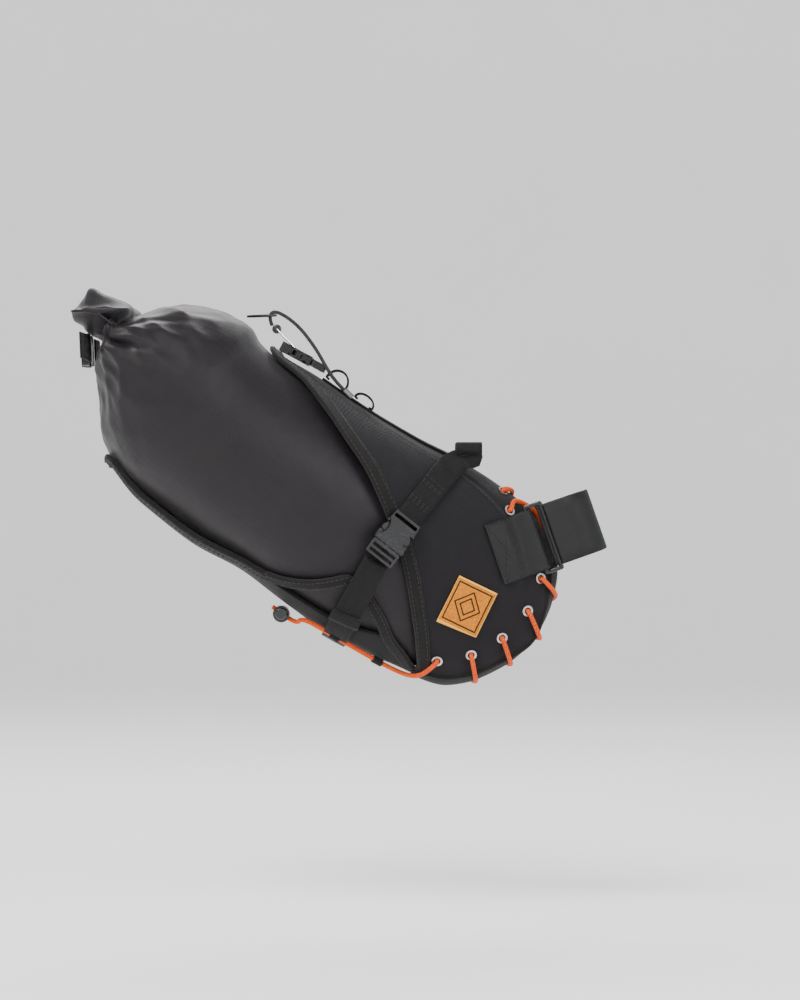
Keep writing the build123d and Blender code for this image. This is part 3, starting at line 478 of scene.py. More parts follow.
class Paint:
    """A node material under construction."""

    def __init__(self, name):
        self.material = bpy.data.materials.new(name)
        self.material.use_nodes = True
        self.tree = self.material.node_tree
        self.shader = self.tree.nodes["Principled BSDF"]
        self.coords = self.tree.nodes.new("ShaderNodeTexCoord")

    def node(self, kind, inputs=None, **settings):
        made = self.tree.nodes.new(kind)
        for key, value in settings.items():
            setattr(made, key, value)
        for key, value in (inputs or {}).items():
            self.put(value, made.inputs[key])
        return made

    def put(self, value, socket):
        if hasattr(value, "is_output"):
            self.tree.links.new(value, socket)
        else:
            socket.default_value = value

    def math(self, operation, a, b=0.0, c=0.0):
        made = self.node("ShaderNodeMath", operation=operation)
        for value, socket in zip((a, b, c), made.inputs):
            self.put(value, socket)
        return made.outputs[0]

    def total(self, *terms):
        """Sum of values, each given alone or with a weight as (value, weight)."""
        values = [self.math("MULTIPLY", *term) if isinstance(term, tuple) else term for term in terms]
        result = values[0]
        for value in values[1:]:
            result = self.math("ADD", result, value)
        return result

    def wave(self, value, length):
        """Sine of a value that repeats every length."""
        return self.math("SINE", self.math("MULTIPLY", value, 2 * math.pi / length))

    def rib(self, value, pitch):
        """Rounded ridges, one every pitch."""
        return self.math("ABSOLUTE", self.wave(value, 2 * pitch))

    def split(self, source):
        """The numbers of one kind of texture coordinates."""
        return self.node("ShaderNodeSeparateXYZ", {"Vector": self.coords.outputs[source]}).outputs

    def reach(self, direction):
        """How far the object's own coordinates reach along a direction."""
        made = self.node("ShaderNodeVectorMath", operation="DOT_PRODUCT")
        self.put(self.coords.outputs["Object"], made.inputs[0])
        made.inputs[1].default_value = tuple(direction)
        return made.outputs["Value"]

    def texture(self, kind, output, **inputs):
        inputs["Vector"] = self.coords.outputs["Object"]
        return self.node("ShaderNodeTex" + kind, inputs).outputs[output]

    def noise(self, scale, detail=4.0, rough=0.55):
        return self.texture("Noise", "Fac", Scale=scale, Detail=detail, Roughness=rough)

    def spread(self, value, limits):
        """A value from 0 to 1 moved to lie between two limits."""
        inputs = {"Value": value, "To Min": limits[0], "To Max": limits[1]}
        return self.node("ShaderNodeMapRange", inputs).outputs[0]

    def colours(self, factor, *stops):
        """A colour ramp of (place, colour) stops, each colour a hex code or four numbers."""
        ramp_node = self.node("ShaderNodeValToRGB", {"Fac": factor})
        elements = ramp_node.color_ramp.elements
        while len(elements) < len(stops):
            elements.new(0.5)
        for element, (place, colour) in zip(elements, stops):
            element.position = place
            element.color = rgb(colour) if isinstance(colour, str) else colour
        return ramp_node.outputs["Color"]

    def overlay(self, factor, below, above):
        """One colour where factor is 0 and another, given as a hex code, where it is 1."""
        made = self.node("ShaderNodeMix", {"Factor": factor}, data_type="RGBA")
        self.put(below, made.inputs[6])
        self.put(rgb(above), made.inputs[7])
        return made.outputs[2]

    def finish(self, colour, roughness, height=None, strength=0.3, depth=0.0003, **sockets):
        """Connects the colour, the roughness and a bump to the shader. Other sockets get plain values."""
        self.put(colour, self.shader.inputs["Base Color"])
        self.put(roughness, self.shader.inputs["Roughness"])
        for key, value in sockets.items():
            self.shader.inputs[key.replace("_", " ")].default_value = value
        if height is not None:
            bump = self.node("ShaderNodeBump", {"Strength": strength, "Distance": depth, "Height": height})
            self.put(bump.outputs["Normal"], self.shader.inputs["Normal"])
        return self.material


# Pitches and depths in the materials are in metres; scales are features per metre
def weave_height(paint, u, v, pitch):
    """Plain weave: raised warp and weft threads that pass over and under each other."""
    across, along = paint.rib(u, pitch), paint.rib(v, pitch)
    cells = [paint.math("FLOOR", paint.math("DIVIDE", value, pitch)) for value in (u, v)]
    odd = paint.math("ABSOLUTE", paint.math("MODULO", paint.total(*cells), 2.0))
    return paint.node("ShaderNodeMix", {"Factor": odd, "A": across, "B": along}).outputs[0]


def fabric(name, dark, light, pitch, sheen=0.08, strength=0.5, mottle=9.0):
    """Woven cloth, its weave laid along the mesh's own length and width."""
    paint = Paint(name)
    u, v, _ = paint.split("UV")
    height = weave_height(paint, u, v, pitch)
    broad, fine = paint.noise(mottle, 5.0), paint.noise(420.0, 3.0)
    shade = paint.total((broad, 0.55), (height, 0.28), (fine, 0.17))
    colour = paint.colours(shade, (0.25, dark), (0.8, light))
    return paint.finish(colour, paint.spread(broad, (0.72, 0.9)), paint.total(height, (fine, 0.5)), strength,
                        0.00025, Sheen_Weight=sheen, Sheen_Roughness=0.45, Specular_IOR_Level=0.25)


def coated(name, dark, light):
    """Coated ripstop: smooth, with faint square reinforcing threads and small wrinkles."""
    paint = Paint(name)
    lines = []
    for value in paint.split("UV")[:2]:
        phase = paint.math("FRACT", paint.math("DIVIDE", value, 0.0052))
        away = paint.math("ABSOLUTE", paint.math("SUBTRACT", phase, 0.5))
        lines.append(paint.math("GREATER_THAN", away, 0.46))
    threads = paint.math("MAXIMUM", *lines)
    broad, crumple = paint.noise(14.0, 6.0), paint.noise(70.0, 6.0, rough=0.6)
    fine = paint.noise(900.0, 2.0)
    shade = paint.total((broad, 0.6), (crumple, 0.3), (threads, 0.05))
    colour = paint.colours(shade, (0.25, dark), (0.75, light))
    height = paint.total((crumple, 1.2), (threads, 0.16), (fine, 0.06))
    return paint.finish(colour, paint.spread(crumple, (0.38, 0.6)), height, 0.35, 0.0012, Sheen_Weight=0.12,
                        Sheen_Roughness=0.4, Specular_IOR_Level=0.26)


def webbing(name, dark, light):
    """Nylon webbing: lengthwise ribs with a slanted texture."""
    paint = Paint(name)
    u, v, _ = paint.split("UV")
    rib = paint.rib(v, 0.0019)
    slant = paint.math("SINE", paint.total((u, 2 * math.pi / 0.0016), (rib, 1.8)))
    fine, broad = paint.noise(500.0, 3.0), paint.noise(25.0, 4.0)
    height = paint.total((rib, 0.9), (slant, 0.35))
    colour = paint.colours(paint.total((height, 0.3), (broad, 0.5)), (0.2, dark), (0.75, light))
    return paint.finish(colour, 0.78, paint.total(height, (fine, 0.4)), 0.55, 0.0003, Sheen_Weight=0.08,
                        Sheen_Roughness=0.4, Specular_IOR_Level=0.25)


def grained(name, dark, light, rough=(0.55, 0.72), scale=650.0, strength=0.35):
    """Rubber-coated fabric with a fine pebbled grain."""
    paint = Paint(name)
    pebble = paint.texture("Voronoi", "Distance", Scale=scale)
    broad = paint.noise(18.0, 5.0)
    colour = paint.colours(paint.total((broad, 0.75), (pebble, 0.25)), (0.25, dark), (0.75, light))
    return paint.finish(colour, paint.spread(broad, rough), pebble, strength, 0.0002, Specular_IOR_Level=0.3)


def plastic(name, dark, light, rough, coat=0.0):
    """Moulded plastic: fine texture, small scuffs and a little unevenness in its shine."""
    paint = Paint(name)
    fine, scuff = paint.noise(1400.0, 2.0), paint.noise(60.0, 8.0, rough=0.7)
    colour = paint.colours(scuff, (0.35, dark), (0.75, light))
    return paint.finish(colour, paint.spread(scuff, rough), paint.total(fine, (scuff, 0.15)), 0.06, 0.0002,
                        Coat_Weight=coat, Coat_Roughness=0.15)


def metal(name, dark, light, rough):
    """Bare metal with fine drawn streaks and small dull spots."""
    paint = Paint(name)
    streak, broad = paint.noise(300.0, 6.0, rough=0.7), paint.noise(90.0, 3.0)
    colour = paint.colours(broad, (0.3, dark), (0.8, light))
    return paint.finish(colour, paint.spread(streak, rough), streak, 0.1, 0.0002, Metallic=1.0)


def braid(name, dark, mid, light, length):
    """Braided cord: strands that cross in two slants round it. length scales the cord's own coordinate."""
    paint = Paint(name)
    place = paint.split("UV")
    u = paint.math("MULTIPLY", place[0], 2 * math.pi * length / 0.0034)
    v = paint.math("MULTIPLY", place[1], 2 * math.pi * 8.0)
    strands = [paint.math("SINE", paint.math(way, u, v)) for way in ("ADD", "SUBTRACT")]
    height = paint.math("MAXIMUM", *strands)
    fine = paint.noise(700.0, 3.0)
    colour = paint.colours(paint.total((height, 0.3), (fine, 0.6)), (0.1, dark), (0.38, mid), (0.72, light))
    return paint.finish(colour, 0.75, paint.total(height, (fine, 0.5)), 0.5, 0.0003, Sheen_Weight=0.05,
                        Sheen_Roughness=0.4, Specular_IOR_Level=0.25)


def thread(name, dark, light):
    """Twisted sewing thread."""
    paint = Paint(name)
    twist = paint.texture("Wave", "Fac", Scale=900.0, Distortion=2.0)
    return paint.finish(paint.colours(twist, (0.2, dark), (0.8, light)), 0.6, twist, 0.2, 0.0001)


def paint_with(obj, material):
    """Gives an object or a carried-over CAD node one material all over."""
    obj.data.materials.clear()
    obj.data.materials.append(material)
    return obj


DRY_CLOTH = coated("dry_bag_cloth", "#0b080b", "#1b151a")
CORDURA = fabric("holster_cordura", "#070608", "#141015", 0.0008)
TONGUE_CLOTH = fabric("tongue_cloth", "#060507", "#121013", 0.0010)
BINDING = fabric("binding_tape", "#050404", "#100e0c", 0.0007, 0.1, strength=0.7, mottle=30.0)
WEBBING = webbing("webbing_black", "#040404", "#12100f")
HYPALON = grained("coated_strap", "#090909", "#131314")
HOOK = grained("hook_tape_black", "#0b0b0c", "#1d1c1e", rough=(0.85, 0.95), scale=900.0, strength=0.9)
BUCKLE = plastic("buckle_acetal", "#0a0a0b", "#1a1a1c", rough=(0.2, 0.33))
LOCK = plastic("cord_lock_black", "#0c0c0d", "#232324", rough=(0.12, 0.25), coat=0.4)
STEEL = metal("spring_steel", "#a8a8ac", "#dcdcde", rough=(0.1, 0.22))
FERRULE = metal("ferrule_metal", "#6c6a69", "#969492", rough=(0.3, 0.45))
EYELET = metal("eyelet_metal", "#a39a98", "#d9d0cd", rough=(0.22, 0.38))
THREAD = thread("sewing_thread", "#0e0d0d", "#242122")
DARK_THREAD = thread("dark_thread", "#060606", "#141314")
LACE_MM = 889.0
LACE = braid("orange_lace", "#7a1800", "#d03c00", "#ea6200", LACE_MM * MM)
ELASTIC = braid("elastic_black", "#121112", "#252324", "#3d3a3c", 0.1)


def far_end(obj, axis):
    """The place of the vertex that lies farthest along axis."""
    coords = np.array([v.co for v in obj.data.vertices])
    return tuple(float(c) for c in coords[np.argmax(coords @ axis)])


def both_sides(obj, material, slot, node):
    """Makes obj the right-hand piece of a pair on the holster, and a reflected copy the left-hand one."""
    piece(obj, material, "holster", slot, f"{node}_right")
    piece(mirrored(obj, obj.name.replace("right", "left")), material, "holster", slot, f"{node}_left")


def piece(obj, material, body, slot, *nodes):
    """Paints a visual piece, hangs it on its body and hides the CAD nodes it stands for. slot is not used."""
    paint_with(obj, material)
    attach(obj, body)
    if nodes:
        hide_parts(*nodes)
    return obj


# ---- Dry bag ----------------------------------------------------------------------------------------------
BAG_ROWS = 120
BAG_COLUMNS = 168


def bag_point(s, angle):
    """A point of the dry bag's cloth, with its folds."""
    v, base, out = oval(s, angle, DRY_BAG)
    loose = ramp(s, 270, 352)
    folds = 0.0
    for turns, phase, size in ((9, 0.4, 1.0), (14, 1.9, 0.8), (23, 0.9, 0.5)):
        wander = 0.35 * math.sin(0.045 * s + phase * 3)
        folds += size * (1 - 2 * abs(math.sin(turns / 2 * (angle + wander) + phase)) ** 0.7)
    push = -0.6 + 1.1 * loose * folds + 0.9 * ripple(base, 26, 1.0) * (0.4 + loose)
    # A deep crease with a lap above it runs forward from the roll along each side
    away = v + 100 + 0.45 * (s - 350)
    push -= 5.0 * ramp(s, 330, 352) * math.exp(-((away / 3.0) ** 2))
    push += 2.6 * ramp(s, 322, 350) * math.exp(-(((away - 7) / 5.0) ** 2))
    for turns, phase, size in ((11, 0.3, 0.8), (19, 2.2, 0.5)):
        push += size * ramp(s, 300, 345) * math.cos(turns * angle + 0.09 * s + phase) ** 3
    return base + out * (push - 0.4)


def build_dry_bag():
    """The stuffed bag as a closed mesh, from the middle of its nose to its neck."""
    front, rear = DRY_BAG[0][0], DRY_BAG[-1][0]
    ring = [2 * math.pi * k / BAG_COLUMNS for k in range(BAG_COLUMNS)]
    rows = [[oval(front, a, DRY_BAG, share)[1] for a in ring] for share in (0.15, 0.45, 0.75)]
    for i in range(BAG_ROWS + 1):
        s = front + (rear - front) * i / BAG_ROWS
        rows.append([bag_point(s, a) for a in ring])
    return grid("drybag_body_cloth", rows, wrap=True, caps=True)


PUFF_PRESSURE = 4.0
PUFF_LIMIT = 5.0
PUFF_VOXEL = 5.0
PUFF_FRAMES = 20


def puff(obj, held):
    """Swells a closed mesh as pressed cloth, no further than PUFF_LIMIT. held(point) is 1 where it stays."""
    scene = bpy.context.scene
    trial = obj.copy()
    trial.data = obj.data.copy()
    scene.collection.objects.link(trial)
    remesh = trial.modifiers.new("remesh", "REMESH")
    remesh.mode = "VOXEL"
    remesh.voxel_size = PUFF_VOXEL * MM
    with bpy.context.temp_override(object=trial, active_object=trial):
        bpy.ops.object.modifier_apply(modifier="remesh")
    group = trial.vertex_groups.new(name="held")
    before = [vertex.co.copy() for vertex in trial.data.vertices]
    for i, point in enumerate(before):
        group.add([i], held(np.array(point) / MM), "REPLACE")
    cloth = trial.modifiers.new("cloth", "CLOTH")
    cloth.settings.quality = 6
    cloth.settings.mass = 0.25
    cloth.settings.tension_stiffness = 12
    cloth.settings.compression_stiffness = 12
    cloth.settings.bending_stiffness = 0.3
    cloth.settings.use_pressure = True
    cloth.settings.uniform_pressure_force = PUFF_PRESSURE
    cloth.settings.vertex_group_mass = "held"
    cloth.settings.effector_weights.gravity = 0
    cloth.collision_settings.use_collision = False
    for number in range(1, PUFF_FRAMES + 1):
        scene.frame_set(number)
    moved = trial.evaluated_get(bpy.context.evaluated_depsgraph_get())
    shifts = [after.co - rest for after, rest in zip(moved.data.vertices, before)]
    triangles = [tuple(face.vertices) for face in trial.data.polygons]
    tree = BVHTree.FromPolygons(before, triangles)
    for vertex in obj.data.vertices:
        place, _, index, _ = tree.find_nearest(vertex.co)
        corners = triangles[index]
        weights = [1 / ((before[c] - place).length + 1e-5) for c in corners]
        shift = sum((shifts[c] * w for c, w in zip(corners, weights)), Vector()) / sum(weights)
        if shift.length > PUFF_LIMIT * MM:
            shift *= PUFF_LIMIT * MM / shift.length
        vertex.co += shift
    bpy.data.objects.remove(trial)
    scene.frame_set(1)


def dry_bag_held(point):
    """The bag is held at its neck and where the holster and the tongue press on it."""
    s = to_bag(point)[0]
    return max(ramp(s, 318, 350), 1 - ramp(s, 262, 292), 0.35)


dry_bag = build_dry_bag()
puff(dry_bag, dry_bag_held)
piece(dry_bag, DRY_CLOTH, "drybag", "drybag_fabric", "drybag_body")

ROLL_HALF = 79.6
ROLL_CORNERS = [(399.0, -84.0), (384.0, -78.5), (366.5, -76.5), (364.5, -92.0), (369.0, -108.5),
                (384.0, -112.0), (397.0, -109.0), (399.8, -96.0)]
ROLL_COLUMNS = 96
ROLL_PINCH = 0.86
ROLL_FOLD = ((398.0, -106.0), (367.0, -80.0))


def roll_outline():
    """The rolled mouth's section as a closed smooth line of (s, v)."""
    corners = [np.array([s, v, 0.0]) for s, v in ROLL_CORNERS]
    line = []
    for i in range(len(corners)):
        around = [corners[(i + k) % len(corners)] for k in (-1, 0, 1, 2)]
        line += [spline(*around, t) for t in (0.0, 0.2, 0.4, 0.6, 0.8)]
    return [(float(p[0]), float(p[1])) for p in line]


def dent(away, depth, width):
    """A smooth dent, depth deep where away is 0."""
    return depth * math.exp(-((away / width) ** 2))


def build_roll():
    """The rolled and folded mouth of the dry bag. Its ends are pinched flat along a slanting fold."""
    outline = roll_outline()
    start, end = (np.array(p) for p in ROLL_FOLD)
    along = (end - start) / np.linalg.norm(end - start)
    rows = []
    for i in range(ROLL_COLUMNS + 1):
        y = -ROLL_HALF + 2 * ROLL_HALF * i / ROLL_COLUMNS
        pinch = ramp(abs(y), 58, ROLL_HALF) ** 1.3 * ROLL_PINCH
        row = []
        for k, (s, v) in enumerate(outline):
            turn = 2 * math.pi * k / len(outline)
            here = np.array([s, v])
            fold = start + along * float((here - start) @ along)
            here = here + (fold - here) * pinch
            wave = 0.8 * math.sin(3 * turn + y / 13) + 0.6 * ripple(at(s, v, y), 15, 3.0)
            wave += 0.9 * ramp(abs(y), 40, 70) * math.sin(7 * turn + 1.0 + abs(y) / 9)
            lap = -dent(turn - 4.1, 1.5, 0.16) - dent(turn - 2.2, 1.2, 0.14)
            out = unit(at(s - 382, v + 95))
            row.append(at(float(here[0]), float(here[1]), y) + out * (wave + lap - 1.0) * (1 - 0.6 * pinch))
        rows.append(row)
    return grid("drybag_roll_cloth", rows, wrap=True, caps=True)


piece(build_roll(), DRY_CLOTH, "drybag", "drybag_fabric", "drybag_roll")

# ---- Holster shell ----------------------------------------------------------------------------------------
rim_curve = smooth([np.array([x, 0.0, z]) for x, z in RIM], 3.0)
RIM_V = [float(p @ ACROSS) for p in rim_curve][::-1]
RIM_S = [float(p @ REARWARD) for p in rim_curve][::-1]


def rim_s(v):
    """How far back the panels reach at height v."""
    return float(np.interp(v, RIM_V, RIM_S, left=28.6, right=278.5))


def rear_end(angle):
    """s of the shell's rear edge at an angle round the bag, 0 on the ridge."""
    return last_true(lambda s: s < rim_s(oval(s, angle)[0]), 28.0, 280.0)


TOP_SEAM = 22.0
CLOTH_THICK = 1.4
SHELL_COLUMNS = 224
SHELL_ROWS = 110
RIM_STEPS = 90


def shell_point(s, angle):
    """A point of the shell's cloth, a little uneven, with the top panel's seam pressed in."""
    _, base, out = oval(s, angle)
    push = 0.3 * ripple(base, 30, 4.0) - 0.35
    if math.cos(angle) > 0 and s > -4:
        away = abs(base[1]) - TOP_SEAM
        push -= dent(away, 0.7, 1.0) - dent(away - 2.2, 0.3, 1.4)
    return base + out * push


def build_shell():
    """The sides and the top panel as one sheet from the middle of the nose to the rim."""
    angles = [2 * math.pi * (k + 0.5) / SHELL_COLUMNS for k in range(SHELL_COLUMNS)]
    ends = [rear_end(a) for a in angles]
    nose = HOLSTER[0][0]
    rows = []
    for share, back in ((0.05, 0.2), (0.4, 0.15), (0.75, 0.0), (0.93, 0.3)):
        rows.append([oval(nose, a, share=share)[1] + REARWARD * back for a in angles])
    for i in range(SHELL_ROWS + 1):
        t = (i / SHELL_ROWS) ** 1.35
        rows.append([shell_point(nose + 0.8 + t * (e - nose - 0.8), a) for a, e in zip(angles, ends)])
    shell = grid("holster_shell", rows, wrap=True)
    thicken = shell.modifiers.new("cloth_thickness", "SOLIDIFY")
    thicken.thickness = CLOTH_THICK * MM
    thicken.offset = -1.0
    return shell


shell = build_shell()
piece(shell, CORDURA, "holster", "cordura", "holster_side_left", "holster_side_right", "holster_top_panel")


def rim_path():
    """The right side's rim from the ridge down to the bottom seam, as (s, v, y)."""
    path = []
    for k in range(RIM_STEPS + 1):
        angle = 0.02 + (math.pi - 0.2) * k / RIM_STEPS
        s = rear_end(angle)
        v, base, _ = oval(s, angle)
        path.append((s, v, -base[1]))
    return path


# (across, lift) round the folded tape, from its inner edge over the rim and back underneath
EDGE_PROFILE = [(10.2, 0.1), (10.0, 0.8), (9.3, 1.15), (7.0, 1.2), (4.5, 1.25), (2.0, 1.2), (0.6, 1.05),
                (-0.3, 0.5), (-0.7, -0.5), (-0.3, -1.5), (0.6, -2.0), (3.0, -2.1), (9.0, -2.1), (9.6, -1.7)]
right_rim = rim_path()
rim_strip = skin_strip("rim_binding_right_tape", right_rim, EDGE_PROFILE, wave=0.15)
both_sides(rim_strip, BINDING, "binding", "rim_binding")
seam_runs = [skin_run(right_rim, across, 1.3) for across in (1.8, 8.2)]

# ---- Front piping -----------------------------------------------------------------------------------------
PIPE_Y = 11.0
PIPE_RADIUS = 1.5
FRONT_STEPS = 40


def front_line(y, lift):
    """Points from the bottom seam round the nose to the top, at y across the holster."""
    lower, upper = [], []
    for k in range(FRONT_STEPS + 1):
        s = 29.0 - 56.4 * k / FRONT_STEPS
        centre, height, width = section(s)
        drop = height * math.sqrt(max(0.02, 1 - (y / width) ** 2))
        lower.append((s, centre - drop))
        if s < -5.5:
            upper.append((s, centre + drop))
    places = lower + [(-28.4, -93.0), (-28.6, -89.0), (-28.4, -85.0)] + upper[::-1]
    line = [at(s, v, y) for s, v in places]
    for _ in range(6):
        line = line[:1] + [(a + 2 * b + c) / 4 for a, b, c in zip(line, line[1:], line[2:])] + line[-1:]
    middle = at(0, -95, y)
    return [p + unit(p - middle) * (lift + 0.3) for p in line]


GUSSET_HALF = 10.6
gusset_ys = np.linspace(-GUSSET_HALF, GUSSET_HALF, 15)
outer = [front_line(y, 0.8 + 0.25 * math.cos(y / GUSSET_HALF * math.pi / 2)) for y in gusset_ys]
inner = [front_line(y, -0.9) for y in gusset_ys[::-1]]
gusset_rows = [[line[i] for line in outer + inner] for i in range(len(outer[0]))]
gusset = grid("holster_front_binding", gusset_rows, wrap=True, caps=True)
piece(gusset, BINDING, "holster", "cordura", "holster_front_gusset")
pipe_right = tube("front_piping_right_bead", smooth(front_line(-PIPE_Y, 0.5)), PIPE_RADIUS)
both_sides(pipe_right, BINDING, "binding", "front_piping")

# ---- Tongue -----------------------------------------------------------------------------------------------
wing_line = smooth(WING)
WING_S, WING_Y = ([float(p[k]) for p in wing_line] for k in (0, 1))


def curl(obj):
    """Bends the tongue's rear end up towards the dry bag."""
    coords = np.empty(len(obj.data.vertices) * 3)
    obj.data.vertices.foreach_get("co", coords)
    coords = coords.reshape(-1, 3)
    for point in coords:
        s, v, _ = to_bag(point / MM)
        point += ACROSS * (9.0 * ramp(s, 270, 322) ** 1.3 * ramp(-v, 110, 150) * MM)
    obj.data.vertices.foreach_set("co", coords.ravel())
    obj.data.update()
    return obj


def tongue_point(s, y, lift):
    """A point of the tongue on the bag's underside at (s, y), moved outward by lift."""
    centre, height, width = section(s)
    rise = math.sqrt(max(0.0, 1 - (y / width) ** 2))
    out = unit(at(0, -rise / height, y / width**2))
    return at(s, centre - height * rise, y) + out * lift


# (s, y) of the middle of the rounded rear corners, and their radius
CORNER_S, CORNER_Y, CORNER_RADIUS = 307.0, 19.0, 9.0
TONGUE_FRONT, TONGUE_REAR = 30.0, 316.0
TONGUE_ROWS = 120
TONGUE_COLUMNS = 20
TONGUE_TOP, TONGUE_LOW = -0.1, -2.4


def build_tongue():
    """The stiff tongue with its wings, as one closed sheet from its front end to its rear end."""
    rows = []
    for i in range(TONGUE_ROWS + 1):
        s = TONGUE_FRONT + (TONGUE_REAR - TONGUE_FRONT) * i / TONGUE_ROWS
        bend = math.sqrt(max(0.0, CORNER_RADIUS**2 - max(0.0, s - CORNER_S) ** 2))
        half = min(float(np.interp(s, WING_S, WING_Y)), CORNER_Y + bend)
        top, low = [], []
        for k in range(2 * TONGUE_COLUMNS + 1):
            y = half * (k / TONGUE_COLUMNS - 1)
            sway = 0.35 * ripple(at(s, -180, y), 24, 6.0)
            top.append(tongue_point(s, y, TONGUE_TOP + sway))
            low.append(tongue_point(s, y, TONGUE_LOW + sway))
        rows.append(top + low[::-1])
    return grid("tongue_cloth", rows, wrap=True, caps=True)


tongue = build_tongue()
piece(curl(tongue), TONGUE_CLOTH, "holster", "tongue_board", "holster_tongue")


def tongue_outline():
    """The tongue's left edge as (s, y), from its front end round the rear corner to the middle."""
    line = [(s, y) for s, y in zip(WING_S, WING_Y) if s < CORNER_S - 1]
    for a in np.linspace(0, math.pi / 2, 9):
        line.append((CORNER_S + CORNER_RADIUS * math.sin(a), CORNER_Y + CORNER_RADIUS * math.cos(a)))
    return line + [(CORNER_S + CORNER_RADIUS, y) for y in np.linspace(CORNER_Y - 2, 0, 9)]


def whole_edge():
    """The whole edge as (s, v, y), from the right front end round the rear to the left front end."""
    half = tongue_outline()
    return [(s, under(s, y), y) for s, y in [(s, -y) for s, y in half] + half[-2::-1]]


TONGUE_EDGE_PROFILE = [(8.2, 0.1), (8.0, 0.7), (7.4, 1.05), (5.0, 1.15), (2.4, 1.2), (0.8, 1.05), (0.0, 0.5),
                       (-0.45, -0.8), (-0.3, -2.0), (0.4, -2.8), (2.0, -3.0), (6.5, -3.0), (7.2, -2.7)]
tongue_path = whole_edge()
tongue_tape = skin_strip("tongue_binding_tape", tongue_path, TONGUE_EDGE_PROFILE, wave=0.1)
piece(curl(tongue_tape), BINDING, "holster", "binding", "tongue_binding")
tongue_seams = [skin_run(tongue_path, 6.6, 1.25), skin_run(tongue_path, 1.6, 1.25)]

# ---- Side straps ------------------------------------------------------------------------------------------
# The right rail's middle under the saddle, and where the strap leaves the skin for it, as (x, z)
RAIL = np.array([-81.0, -22.0, 59.5])
STRAP_LEAVES = (-97.0, 44.0)
# The way the straps pull on the right side buckle, the middle of its mouth, and where both straps join it
PULL = np.array([-0.60151, -0.09085, -0.79368])
MOUTH = np.array([-143.39457, -60.79658, -13.83955])
strap_top = MOUTH - PULL * 22.4
strap_bottom = MOUTH + PULL * 13.0
CINCH_END = (-187.0, -91.0)
FORWARD = np.array([1.0, 0.0, 0.0])


def side_line(start, end, count, hand=-1):
    """(s, v, y) along a straight side-view line on the skin."""
    return [
        side_place(*(a + (b - a) * k / count for a, b in zip(start, end)), hand)
        for k in range(count + 1)
    ]


# The webbing's width and thickness, its profile where it stands free, and the doubled rail strap's thickness
WEB = 20.0
WEB_THICK = 1.5
FREE_WEB = tapes(WEB, WEB_THICK, -WEB_THICK / 2, 0.4)
DOUBLE_THICK = 2.9
rail_path = side_line((strap_top[0] - 1, strap_top[2] - 1), STRAP_LEAVES, 30)
rail_low = skin_strip("rail_strap_low", rail_path, tapes(WEB, DOUBLE_THICK, 0.15, 0.5), wave=0.12)
leaves, leaves_out = on_skin(*rail_path[-1])
before, _ = on_skin(*rail_path[-3])
under_rail = RAIL - np.array([0.0, 0.0, 4.7])
climb = [leaves + leaves_out * 1.6 + unit(before - leaves) * 3.0, leaves + leaves_out * 1.9,
         leaves * 0.5 + under_rail * 0.5 + leaves_out * 0.8, under_rail + np.array([0.0, -0.2, -3.0]),
         under_rail]
climb_path = smooth(climb, 1.5)
# The strap's width turns from its direction on the skin to the rail's
first_side = -unit(np.cross(leaves_out, leaves - before))
last_side = FORWARD * math.copysign(1.0, first_side[0])
turned = [ramp(i, 2, len(climb_path) - 3) for i in range(len(climb_path))]
climb_sides = [unit(first_side * (1 - share) + last_side * share) for share in turned]
climb_profile = tapes(WEB, DOUBLE_THICK, -DOUBLE_THICK / 2, 0.5)
rail_climb = flat_strip("rail_strap_climb", climb_path, climb_sides, climb_profile)
RAIL_LOOP_RADIUS = 4.35
loop_turns = [2 * math.pi * k / 40 for k in range(41)]
loop_path = [RAIL + np.array([0.0, math.sin(a), -math.cos(a)]) * RAIL_LOOP_RADIUS for a in loop_turns]
rail_loop = flat_strip("rail_strap_loop", loop_path, FORWARD, FREE_WEB)
rail_strap = join("rail_strap_right_web", [rail_low, rail_climb, rail_loop])
both_sides(rail_strap, WEBBING, "webbing", "rail_strap")

cinch_path = side_line((strap_bottom[0], strap_bottom[2]), CINCH_END, 40)
cinch = skin_strip("cinch_strap_right_web", cinch_path, tapes(WEB, WEB_THICK, 1.25, 0.4), wave=0.1)
tail = skin_strip("cinch_tail_right_web", cinch_path[1:37], tapes(WEB - 0.6, WEB_THICK, 3.05, 0.4), wave=0.25)
keeper = skin_strip("strap_keeper_right_web", cinch_path[24:29], tapes(WEB + 3.2, 1.3, 4.75, 0.4), wave=0.05)
for made, joint_name in ((cinch, "cinch_strap"), (tail, "cinch_tail")):
    twin = mirrored(made, made.name.replace("right", "left"))
    for obj, side in ((made, "right"), (twin, "left")):
        piece(obj, WEBBING, "holster", "webbing", f"{joint_name}_{side}")
        release = f"side_buckle_{side}_release"
        axis = np.array(next(j["axis"] for j in frame["joints"] if j["name"] == release))
        far_end(obj, axis)
        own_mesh(obj)
keeper_twin = mirrored(keeper, "strap_keeper_left_web")
piece(keeper, WEBBING, "holster", "webbing", "strap_keeper_right")
piece(keeper_twin, WEBBING, "holster", "webbing", "strap_keeper_left")

# ---- Seatpost strap ---------------------------------------------------------------------------------------
HALF_STRAP = 24.0
RING_REAR, RING_FRONT, RING_Y = -31.5, -19.5, -18.5
STRAP_THICK = 2.2
PAD_POINTS = 25
PAD_LEAVES = -38.0
PAD_SHARE = np.linspace(-HALF_STRAP, HALF_STRAP, PAD_POINTS)


def post_point(p, y):
    """A point p forward of the post's axis and y to the side."""
    return POST_FORWARD * p + SIDEWAYS * y


